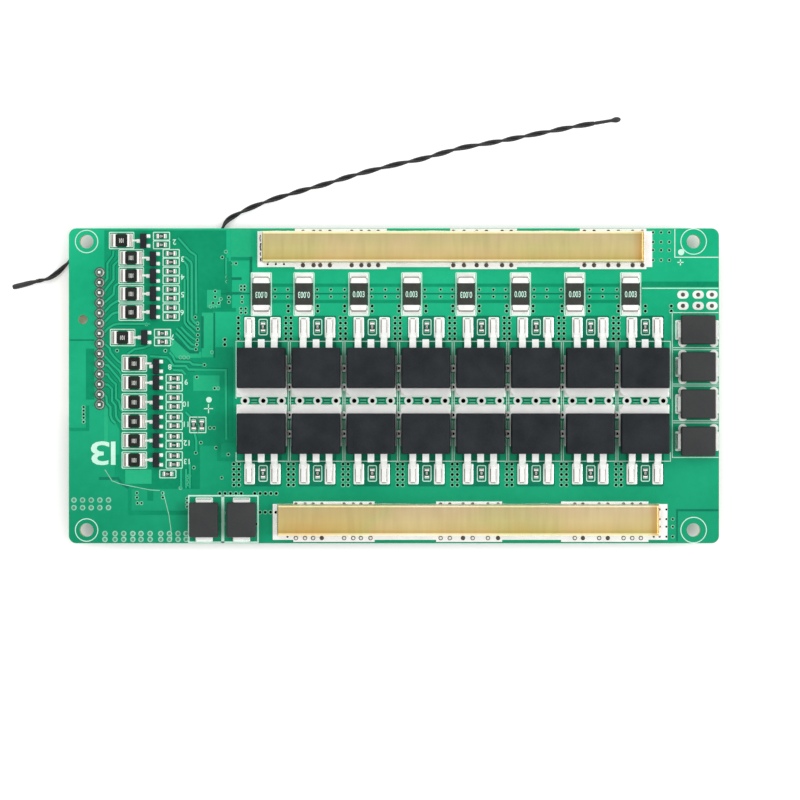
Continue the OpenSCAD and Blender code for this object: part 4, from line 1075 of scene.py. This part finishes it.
def addTransistorPads(pads, shadeFillets):
    for row, way in (("rear", 1), ("front", -1)):
        for x0, y0, z0, x1, y1, z1 in solidBoxes(f"{row}_mosfet_leads"):
            cx = (x0 + x1) / 2
            if x1 - x0 > tabPad["widerThan"]:  # the tab, soldered down on a wide pad
                past, side = tabPad["past"], tabPad["side"]
                near, far = (y0 - past, y1) if way > 0 else (y0, y1 + past)
                addPad(pads, x0 - side, near, x1 + side, far, top, tabPad["height"], tabPad["corner"])
            elif z0 < top + footPad["below"]:  # an outer lead on its foot
                toe, base = y1 if way > 0 else y0, top + footPad["filletBase"]
                a, b = sorted((toe + way * footPad["toe"], toe - way * footPad["heel"]))
                addPad(pads, cx - footPad["left"], a, cx + footPad["right"], b, top, footPad["height"],
                       footPad["corner"])
                for side in (-1, 1):
                    wedge(shadeFillets, cx + side * 0.45, toe - way * 1.4, side, 0, 2.5, 0.2, 0.34, base)
                wedge(shadeFillets, cx, toe, 0, way, 0.86, 0.2, 0.36, base)


def addShuntPads(pads, shadeFillets):
    middle = centreOf("shunt_resistor_1")[1]
    for box in solidBoxes("shunt_terminals"):
        x0, y0, z0, x1, y1, z1 = box
        cx, cy = middleOf(box)
        way = 1 if cy > middle else -1
        toe = y1 if way > 0 else y0
        base, past = top + shuntPad["filletBase"], shuntPad["side"]
        a, b = sorted((toe - way * shuntPad["heel"], toe + way * shuntPad["toe"]))
        addPad(pads, x0 - past, a, x1 + past, b, top, shuntPad["height"], shuntPad["corner"])
        wedge(shadeFillets, cx, toe, 0, way, x1 - x0 - 0.2, 0.26, 0.42, base)
        for side in (-1, 1):
            wedge(shadeFillets, cx + side * (x1 - x0) / 2, toe - way * 0.4, side, 0, 0.7, 0.16, 0.4, base)


def addDiodePads(pads, fillets):
    clampMiddle, inputMiddle = centreOf("clamp_diode_1")[0], centreOf("input_diode_1")[1]
    heel, height, corner = diodePad["heel"], diodePad["height"], diodePad["corner"]
    rise, base = diodePad["filletHeight"], top + diodePad["filletBase"]
    for box in solidBoxes("diode_terminals"):
        x0, y0, z0, x1, y1, z1 = box
        cx, cy = middleOf(box)
        if x1 - x0 < y1 - y0:  # clamp diodes lie along the board
            way = 1 if cx > clampMiddle else -1
            reach, side = diodePad["right" if way > 0 else "left"], diodePad["clampSide"]
            a, b = sorted((cx + way * reach + way * (x1 - x0) / 2, cx - way * heel))
            addPad(pads, a, y0 - side, b, y1 + side, top, height, corner)
            wedge(fillets, x1 if way > 0 else x0, cy, way, 0, y1 - y0, reach * 0.9, rise, base)
        else:
            way = 1 if cy > inputMiddle else -1
            reach, side = diodePad["front"], diodePad["inputSide"]
            a, b = sorted((cy + way * reach + way * (y1 - y0) / 2, cy - way * heel))
            addPad(pads, x0 - side, a, x1 + side, b, top, height, corner)
            wedge(fillets, cx, y1 if way > 0 else y0, 0, way, x1 - x0, 0.36, rise, base)


def addBalancePads(pads):
    # pads under the small transistors' legs, and the bridges from them to the balancing resistors
    base = top + padPlan["lift"]
    for box in solidBoxes("balance_transistor_leads"):
        cy, side, half = middleOf(box)[1], legPad["side"], legPad["half"]
        addPad(pads, box[0] - side, cy - half, box[3] + side, cy + half, base, legPad["height"],
               legPad["corner"])
    for left, right in zip(solidBoxes("balance_resistors"), solidBoxes("balance_transistors")):
        y, half = middleOf(left)[1], bridgePad["half"]
        addPad(pads, left[3] + bridgePad["from"], y - half, right[0] - bridgePad["to"], y + half, base,
               bridgePad["height"], bridgePad["corner"])


outputPlan = {"halfLength": 1.13, "halfWidth": 0.8, "corner": 0.75, "height": 0.07, "sides": 18}


def addOutputHoles(pads, domes):
    # long pads on both faces round the output holes, with a column of solder in each hole
    length, width, height = outputPlan["halfLength"], outputPlan["halfWidth"], outputPlan["height"]
    for x, y, radius in holes:
        if holeKind(x, y, radius) != "output":
            continue
        ring = roundedPoints(x - length, y - width, x + length, y + width, outputPlan["corner"], 6)
        rim = [(px * 0.97 + x * 0.03, py * 0.97 + y * 0.03) for px, py in ring]
        turns = [math.atan2((py - y), (px - x)) for px, py in ring]
        hub = [(x + (radius + 0.02) * math.cos(a), y + (radius + 0.02) * math.sin(a)) for a in turns]
        for z in (top, under - height):
            addRings(pads, [atHeight(ring, z), atHeight(rim, z + height), atHeight(hub, z + height)],
                     False, False)
        column = 0.02 + 0.09 * noise.noise(Vector((x * 3, y * 3, 4)))
        addRound(domes, x, y, [(radius - 0.02, under + 0.1), (radius - 0.02, top - 0.05),
                               (radius * 0.7, top + column), (radius * 0.2, top + column + 0.02)],
                 outputPlan["sides"])


def addCappedVias():
    rings, caps = bmesh.new(), bmesh.new()
    for x, y, radius in holes:
        if holeKind(x, y, radius) != "filled":
            continue
        for side, z in ((1, top), (-1, under)):
            addRound(rings, x, y, [(0.55, z), (0.53, z + side * 0.04), (0.4, z + side * 0.1),
                                   (0.3, z + side * 0.08)], 18, closeEnd=False)
            addRound(caps, x, y, [(0.31, z + side * 0.075), (0.2, z + side * 0.06),
                                  (0.03, z + side * 0.1)], 18)
    addPiece("cappedViaRings", rings, paleMask)
    addPiece("cappedViaCentres", caps, greyMask)


def addSolderWork():
    pads, fillets, shadeFillets, domes = bmesh.new(), bmesh.new(), bmesh.new(), bmesh.new()
    addChipPads(pads, shadeFillets, "balance_resistors", 0.65, 0.06, 0.6)
    for node in ("chip_resistors", "gate_resistors"):
        addChipPads(pads, shadeFillets, node, 0.3, 0.04, 0.7)
    addTransistorPads(pads, shadeFillets)
    addShuntPads(pads, shadeFillets)
    addDiodePads(pads, fillets)
    addBalancePads(pads)
    addOutputHoles(pads, domes)
    addPiece("tinnedPads", pads, padTin)
    addPiece("solderFillets", fillets, solder)
    # these fillets carry the darker solder, a painted shade
    addPiece("paintedShadeFillets", shadeFillets, paintedShadeSolder)
    addPiece("filledOutputHoles", domes, stainAndShadeSolder)
    addCappedVias()


addSolderWork()

jointPlan = {"foot": 0.94, "waist": 0.44, "height": 0.95}


def addConnectorJoints():
    # hollow cones of solder round the connector's pins, with a dark film of flux at foot and tip
    bm, flux = bmesh.new(), bmesh.new()
    for box in solidBoxes("connector_solder_joints"):
        x, y = middleOf(box)
        lean = 0.05 * noise.noise(Vector((x, y * 3.1, 0.5)))
        foot, waist, height = jointPlan["foot"], jointPlan["waist"], jointPlan["height"] + lean
        addRound(bm, x, y, [(foot, top), (foot * 0.97, top + 0.05), (foot * 0.8, top + 0.14),
                            (waist * 1.3, top + height * 0.36), (waist * 1.02, top + height * 0.62),
                            (waist * 0.9, top + height * 0.86), (waist * 0.72, top + height)], 24)
        addRound(flux, x, y, [(foot + 0.12, top + 0.03), (foot + 0.1, top + 0.05), (foot - 0.06, top + 0.06),
                              (foot - 0.08, top + 0.03)], 24, False, False)
        addRound(flux, x, y, [(waist * 0.86, top + height - 0.03), (waist * 0.84, top + height + 0.02),
                              (waist * 0.6, top + height + 0.03)], 18, False, False)
    addPiece("connectorFlux", flux, darkFlux)
    piece = addPiece("connectorSolder", bm, shinySolder)
    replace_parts(piece, "connector_solder_joints")


addConnectorJoints()


beadPlan = {"step": 0.5, "width": 0.15, "height": 0.26, "least": 0.06}


def beadRing(x, y, z, nx, ny, wide, tall):
    # the section of a bead beside a bar's wall; nx, ny points away from the wall
    return [(x + nx * out, y + ny * out, z + rise) for out, rise in
            ((-0.05, -0.02), (0.02, tall), (wide * 0.35, tall * 0.45), (wide * 0.7, tall * 0.14),
             (wide, 0.005), (wide, -0.02))]


def addBeads():
    # uneven beads of solder where each busbar meets its land
    bm = bmesh.new()
    for side, seed in (("rear", 2.0), ("front", 7.0)):
        (a, b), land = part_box(f"{side}_busbar"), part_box(f"{side}_solder_land")
        x0, y0, x1, y1 = a.x / mm, a.y / mm, b.x / mm, b.y / mm
        z = land[1].z / mm
        loop = []
        for (px, py), (qx, qy), nx, ny in (((x0, y0), (x1, y0), 0, -1), ((x1, y0), (x1, y1), 1, 0),
                                           ((x1, y1), (x0, y1), 0, 1), ((x0, y1), (x0, y0), -1, 0)):
            count = round(math.hypot(qx - px, qy - py) / beadPlan["step"])
            for k in range(count):
                t = k / count
                loop.append((px + (qx - px) * t, py + (qy - py) * t, nx, ny))
        rings = []
        for i, (x, y, nx, ny) in enumerate(loop):
            mx, my = nx + loop[i - 1][2], ny + loop[i - 1][3]
            if abs(mx) + abs(my) > 2.1 or (mx and my):  # a corner
                nx, ny = mx, my
            lump = noise.noise(Vector((x * 0.45, y * 0.45, seed)))
            fine = noise.noise(Vector((x * 1.7, y * 1.7, seed + 3)))
            wide = max(beadPlan["least"], beadPlan["width"] + 0.1 * lump + 0.05 * fine)
            tall = max(beadPlan["least"], beadPlan["height"] + 0.22 * lump + 0.1 * fine)
            rings.append(beadRing(x, y, z, nx, ny, wide, tall))
        rings.append(rings[0])
        addRings(bm, rings, False, False)
    bmesh.ops.remove_doubles(bm, verts=bm.verts, dist=1e-7)
    addPiece("busbarSolderBeads", bm, solder)


landPlan = {"past": 0.06, "sides": 18, "near": 0.0005}
# painted shadow strips along the gap at the rear bar's left end
barEndShadows = [(29.7, 28.4, 0.2), (28.1, 26.6, 0.26), (26.3, 25.6, 0.2), (25.2, 24.5, 0.24)]  # from, to, width


def addLandHoles():
    # plugs and cups of solder in the lands' holes, and strips of painted shadow at the rear bar's left end
    plugs, bright = bmesh.new(), bmesh.new()
    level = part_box("rear_solder_land")[1].z / mm
    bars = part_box("rear_busbar"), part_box("front_busbar")
    for x, y, radius in holes:
        if holeKind(x, y, radius) != "bar":
            continue
        behind = any(b.y - landPlan["near"] < y * mm < b.y + landPlan["near"] for a, b in bars)
        chance = noise.noise(Vector((x * 3, y * 3, 0)))
        rise = 0.09 + 0.05 * chance
        r, sides = radius + landPlan["past"], landPlan["sides"]
        if behind:  # the row along the rear side of a bar stays hollow
            addRound(plugs, x, y, [(radius - 0.03, under + 0.1), (radius - 0.03, level - 0.05),
                                   (radius * 0.5, level - 0.12), (radius * 0.2, level - 0.14)], sides)
            continue
        if y < 0:  # along the front bar the holes are open cups with a bright bead inside
            addRound(plugs, x, y, [(radius - 0.03, under + 0.1), (radius - 0.03, level - 0.02),
                                   (r, level + 0.01), (r * 0.9, level + 0.05), (r * 0.68, level + 0.03)],
                     sides, True, False)
            addRound(bright if chance > -0.1 else plugs, x, y,
                     [(r * 0.7, level), (r * 0.5, level + rise), (r * 0.2, level + rise + 0.02)], sides)
            continue
        addRound(plugs, x, y,
                 [(radius - 0.03, under + 0.1), (radius - 0.03, level - 0.02), (r, level + 0.01),
                  (r * 0.94, level + 0.04), (r * 0.6, level + rise), (r * 0.25, level + rise + 0.02)], sides)
    edge = bars[0][0].x / mm
    # each strip is a painted shadow in the dark solder
    for y0, y1, width in barEndShadows:
        shift = 0.3 + 0.25 * noise.noise(Vector((y0, 0, 0)))
        addStrip(plugs, [(edge - shift, y0), (edge - shift - 0.1, (y0 + y1) / 2), (edge - shift, y1)], width,
                 level + 0.01, 0.02)
    addPiece("filledLandHoles", plugs, stainAndShadeSolder)
    addPiece("brightLandHoles", bright, padTin)


addBeads()
addLandHoles()
for node in ("rear_solder_land", "front_solder_land"):
    dress(node, landSolder)
for node in ("rear_busbar", "front_busbar"):
    dress(node, brass)
print("solder work done")

# Packages

packagePlan = {"mosfetDraft": 0.25, "mosfetParting": 0.57, "mosfetEdge": 0.22, "mosfetCorner": 0.28,
               "diodeDraft": 0.15, "diodeEdge": 0.18, "diodeCorner": 0.3, "shuntEdge": 0.08,
               "shuntCorner": 0.05, "smallDraft": 0.08, "smallEdge": 0.08, "controllerDraft": 0.1}


def packageFor(name, node, draft, edge, corner, material, slotName="moulded_package", parting=0.5):
    # a moulded body for each solid of a node; parting is the share of its height below the seam
    bm = bmesh.new()
    for box in solidBoxes(node):
        addMoulded(bm, box, draft, box[2] + (box[5] - box[2]) * parting, edge, corner)
    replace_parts(addPiece(name, bm, material), node)


mosfetShape = [packagePlan[key] for key in ("mosfetDraft", "mosfetEdge", "mosfetCorner")]
diodeShape = [packagePlan[key] for key in ("diodeDraft", "diodeEdge", "diodeCorner")]
shuntShape = [0, packagePlan["shuntEdge"], packagePlan["shuntCorner"]]
smallEdge = packagePlan["smallEdge"]
for i in range(1, 9):
    for row in ("rear", "front"):
        packageFor(f"{row}TransistorBody{i}", f"mosfet_{row}_{i}", *mosfetShape, epoxy,
                   parting=packagePlan["mosfetParting"])
    packageFor(f"shuntBody{i}", f"shunt_resistor_{i}", *shuntShape, shuntCoat, "shunt_body")
for i in range(1, 5):
    packageFor(f"clampDiodeBody{i}", f"clamp_diode_{i}", *diodeShape, diodeEpoxy)
for i in (1, 2):
    packageFor(f"inputDiodeBody{i}", f"input_diode_{i}", *diodeShape, diodeEpoxy)
    packageFor(f"controllerBody{i}", f"controller_ic_{i}", packagePlan["controllerDraft"], smallEdge,
               smallEdge, epoxy)
packageFor("balanceTransistorBodies", "balance_transistors", packagePlan["smallDraft"], smallEdge, smallEdge,
           epoxy)

glazePlan = {"balance_resistors": 0.115, "chip_resistors": 0.17, "gate_resistors": 0.17, "side": 0.05,
             "corner": 0.08, "raised": 0.012}  # a share of the length stays bare at each end


def chipBodies(name, node):
    # ceramic body with a raised dark glaze on top, between the caps
    bm, side = bmesh.new(), glazePlan["side"]
    for x0, y0, z0, x1, y1, z1 in solidBoxes(node):
        flat = x1 - x0 > y1 - y0
        addSlab(bm, x0 + 0.06, y0 + 0.02, x1 - 0.06, y1 - 0.02, z0 + 0.02, z1 - 0.055)
        inset = glazePlan[node] * (x1 - x0 if flat else y1 - y0)
        dx, dy = (inset, side) if flat else (side, inset)
        gx0, gy0, gx1, gy1 = x0 + dx, y0 + dy, x1 - dx, y1 - dy
        rings = []
        for z, step in ((z1 - 0.06, 0), (z1 - 0.01, 0), (z1 + glazePlan["raised"], 0.05)):
            rings.append(atHeight(roundedPoints(gx0 + step, gy0 + step, gx1 - step, gy1 - step,
                                                glazePlan["corner"]), z))
        addRings(bm, rings)
    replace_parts(addPiece(name, bm, ceramic), node)


chipBodies("balanceResistorBodies", "balance_resistors")
chipBodies("chipResistorBodies", "chip_resistors")
chipBodies("gateResistorBodies", "gate_resistors")
for node in ("balance_resistor_caps", "chip_resistor_caps", "gate_resistor_caps", "shunt_terminals",
             "diode_terminals", "balance_transistor_leads", "rear_mosfet_leads", "front_mosfet_leads",
             "cell_connector_pins", "controller_leads"):
    dress(node, leadTin)
dress("cell_connector_housing", nylon)
softEdges = {"rear_mosfet_leads": 0.06, "front_mosfet_leads": 0.06, "cell_connector_housing": 0.12,
             "diode_terminals": 0.04, "shunt_terminals": 0.06}
for node, width in softEdges.items():
    piece = frame["nodes"][node]
    weld = piece.modifiers.new("joined", "WELD")
    weld.merge_threshold = 2e-6
    soften = piece.modifiers.new("softEdges", "BEVEL")
    soften.width, soften.segments = width * mm, 2
    soften.limit_method, soften.angle_limit = "ANGLE", math.radians(40)
print("packages made")

# Printing

printPlan = {"line": 0.18, "wide": 0.22, "level": 0.045, "frame": 0.3, "polarity": 0.6, "sign": 0.2,
             "digit": 1.5, "mark": 6.5, "markY": -13}
# half sizes and corner of the frame round each kind of chip
framePlan = {"balance": (2.5, 1.7, 0.25), "shunt": (2.08, 4.32, 0.25), "gate": (0.9, 1.62, 0.35),
             "chipAcross": (1.68, 0.86, 0.2), "chipAlong": (0.88, 1.62, 0.2)}
# middles of the channel figures, which count up from two
channelFigures = [(-43.2, 28.35), (-41.6, 25), (-41.6, 21.45), (-41.6, 18), (-41.7, 14.45), (-43.6, 9.65),
                  (-44.1, 3.75), (-40.9, 0.8), (-40.9, -3.55), (-40.9, -7.5), (-40.7, -11.2),
                  (-40.7, -14.85)]
markFigures = [("3", -57.9, 1.45), ("1", -55.25, 1.15)]  # figure, place along the board, stretch


def addFrames(bm, z):
    # a printed frame round every chip and shunt, and a ring round every screw hole
    def around(x, y, kind, width):
        halfX, halfY, radius = framePlan[kind]
        addOutline(bm, x - halfX, y - halfY, x + halfX, y + halfY, width, z, radius)

    line = printPlan["line"]
    for x, y, radius in holes:
        if radius > 1.1:
            ring = 2.3 if x < 0 else 2.6
            addFrame(bm, ringPoints(x, y, ring, 48), ringPoints(x, y, ring - line, 48), z)
    for box in solidBoxes("balance_resistors"):
        around(*middleOf(box), "balance", line)
    for i in range(1, 9):
        around(*centreOf(f"shunt_resistor_{i}"), "shunt", printPlan["wide"])
    for box in solidBoxes("gate_resistors"):
        around(*middleOf(box), "gate", line)
    for box in solidBoxes("chip_resistors"):
        around(*middleOf(box), "chipAcross" if box[3] - box[0] > box[4] - box[1] else "chipAlong", line)


def addRowLines(bm, z):
    # two brackets round the rows of transistors, with broken double lines between neighbours
    line = printPlan["line"]
    left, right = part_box("mosfet_rear_1")[0].x / mm - 0.25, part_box("mosfet_rear_8")[1].x / mm + 0.35
    rearEnd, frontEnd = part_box("mosfet_rear_1")[1].y / mm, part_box("mosfet_front_1")[0].y / mm
    rear, front = rearEnd + 1.25, frontEnd - 1.45
    for y, back in ((rear, rear - 11.3), (front, frontEnd + 0.3)):
        addStrip(bm, [(left, back), (left, y), (right, y), (right, back)], line, z)
    dashes = ((rear, rear - 4.3), (rear - 6.2, rear - 8.1), (rear - 9.6, front + 9.8),
              (front + 8, front + 6.3), (front + 4.4, front))
    for i in range(1, 8):
        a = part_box(f"mosfet_rear_{i}")[1].x / mm
        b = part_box(f"mosfet_rear_{i + 1}")[0].x / mm
        middle = (a + b) / 2
        for dx in (-0.16, 0.24):
            for y0, y1 in dashes:
                addStrip(bm, [(middle + dx, y0), (middle + dx, y1)], line, z)


def addEndLines(bm, z):
    # lines round the clamp diodes and the output corner, measured from the board's right end
    line, edge = printPlan["line"], boardHigh.x / mm
    last = edge - 0.1
    addStrip(bm, [(edge - 8.7, 30.9), (edge - 8.7, 25.3), (last, 25.3)], line, z)
    addStrip(bm, [(edge - 15.2, 19.2), (last, 19.2)], line, z)
    addStrip(bm, [(edge - 9.7, 14.4), (last, 14.4)], line, z)
    addStrip(bm, [(edge - 9.2, 14.4), (edge - 9.2, -14.1), (last, -14.1)], line, z)
    for y in (7.5, 7.1, 0.35, -0.05, -6.9, -7.3):
        addStrip(bm, [(edge - 9.2, y), (last, y)], line, z)


def addPolarity(bm, z):
    # the frame round the input diodes, and a dot and a plus sign by the output corner and the left block
    (a, b), (c, d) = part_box("input_diode_1"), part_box("input_diode_2")
    addOutline(bm, a.x / mm - 0.3, -30.95, d.x / mm + 0.5, -21.5, printPlan["frame"], z, 0.15)
    middle = (b.x + c.x) / 2 / mm
    addStrip(bm, [(middle, -21.6), (middle, -30.9)], printPlan["polarity"], z)
    edge, sign = boardHigh.x / mm, printPlan["sign"]
    for x, y, r in ((edge - 7.45, 26.3, 0.62), (-36.4, -2.75, 0.56)):
        addRound(bm, x, y, [(r, z), (r, z + 0.012)], 24)
    for x, y, arm in ((edge - 7.6, 24.3, 0.6), (-36.5, -4.5, 0.9)):
        addStrip(bm, [(x - arm, y), (x + arm, y)], sign, z)
        addStrip(bm, [(x, y - arm), (x, y + arm)], sign, z)


def addPrinting():
    bm, z = bmesh.new(), top + printPlan["level"]
    addFrames(bm, z)
    addRowLines(bm, z)
    addEndLines(bm, z)
    addPolarity(bm, z)
    for count, (x, y) in enumerate(channelFigures):
        addDigits(bm, str(count + 2), x, y, printPlan["digit"], z)
    for word, x, stretch in markFigures:
        addDigits(bm, word, x, printPlan["markY"], printPlan["mark"], z, stretch=stretch)
    addFlat("whitePrinting", bm, printing)


addPrinting()

# figures, their size and stretch for each kind of part
figurePlan = {"shunt": ("0.003", 1.7, 0.64), "balance_resistors": ("101", 1.2, 0.62),
              "chip_resistors": ("102", 0.62, 0.8), "gate_resistors": ("100", 0.62, 0.8),
              "turnedShunts": (1, 2, 5), "shuntRise": 0.002, "chipRise": 0.013}


def addMarks():
    # plain value figures on the shunts and on the chips
    shunts, chips = bmesh.new(), bmesh.new()
    words, size, stretch = figurePlan["shunt"]
    for i in range(1, 9):
        x, y = centreOf(f"shunt_resistor_{i}")
        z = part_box(f"shunt_resistor_{i}")[1].z / mm + figurePlan["shuntRise"]
        addDigits(shunts, words, x, y - 0.1, size, z, 180 if i in figurePlan["turnedShunts"] else 0, stretch)
    for node in ("balance_resistors", "chip_resistors", "gate_resistors"):
        words, size, stretch = figurePlan[node]
        for box in solidBoxes(node):
            turn = 180 if box[3] - box[0] > box[4] - box[1] else 90
            addDigits(chips, words, *middleOf(box), size, box[5] + figurePlan["chipRise"], turn, stretch)
    addPiece("shuntFigures", shunts, printing, smooth=False)
    addPiece("chipFigures", chips, chipPrint, smooth=False)


addMarks()
print("printing done")

# Floor

floorPlan = {"reach": 3.0, "glow": 0.4, "shadeStart": 0.9, "shadeEnd": 1.12, "rough": 0.8, "gloss": 0.1,
             "light": (0.93, 0.93, 0.93), "dark": (0.9, 0.9, 0.9), "shade": (0.66, 0.64, 0.61)}


def floorMaterial():
    # a pale card that glows softly; under the board it has a painted shadow, a darker colour and no glow
    material, tree, shader = newMaterial("paleCard")
    place = addNode(tree, "ShaderNodeTexCoord")
    split = addNode(tree, "ShaderNodeSeparateXYZ")
    across = addNode(tree, "ShaderNodeMath", operation="ABSOLUTE")
    along = addNode(tree, "ShaderNodeMath", operation="ABSOLUTE")
    acrossShare = addNode(tree, "ShaderNodeMath", {1: boardHigh.x}, operation="DIVIDE")
    alongShare = addNode(tree, "ShaderNodeMath", {1: boardHigh.y}, operation="DIVIDE")
    most = addNode(tree, "ShaderNodeMath", operation="MAXIMUM")
    clear = addNode(tree, "ShaderNodeMapRange", {"From Min": floorPlan["shadeStart"],
                                                 "From Max": floorPlan["shadeEnd"]},
                    interpolation_type="SMOOTHSTEP")
    glow = addNode(tree, "ShaderNodeMath", {1: floorPlan["glow"]}, operation="MULTIPLY")
    tone = placeGroup(tree, mottle, Scale=30, Speckle=0.3, Light=(*floorPlan["light"], 1),
                      Dark=(*floorPlan["dark"], 1))
    shade = addNode(tree, "ShaderNodeMix", {"A": (*floorPlan["shade"], 1)}, data_type="RGBA")
    link = tree.links.new
    link(place.outputs["Object"], split.inputs[0])
    link(split.outputs["X"], across.inputs[0])
    link(split.outputs["Y"], along.inputs[0])
    link(across.outputs[0], acrossShare.inputs[0])
    link(along.outputs[0], alongShare.inputs[0])
    link(acrossShare.outputs[0], most.inputs[0])
    link(alongShare.outputs[0], most.inputs[1])
    link(most.outputs[0], clear.inputs["Value"])
    link(clear.outputs["Result"], glow.inputs[0])
    link(clear.outputs["Result"], shade.inputs["Factor"])
    link(tone.outputs["Color"], shade.inputs["B"])
    link(shade.outputs["Result"], shader.inputs["Base Color"])
    link(glow.outputs[0], shader.inputs["Emission Strength"])
    shader.inputs["Emission Color"].default_value = (1, 1, 1, 1)
    shader.inputs["Roughness"].default_value = floorPlan["rough"]
    shader.inputs["Specular IOR Level"].default_value = floorPlan["gloss"]
    return material


floorMesh = bpy.data.meshes.new("paleFloor")
reach = floorPlan["reach"]
floorMesh.from_pydata(atHeight(rectangle(-reach, -reach, reach, reach), 0), [], [(0, 1, 2, 3)])
floorMesh.materials.append(floorMaterial())
paleFloor = bpy.data.objects.new("paleFloor", floorMesh)
scene.collection.objects.link(paleFloor)
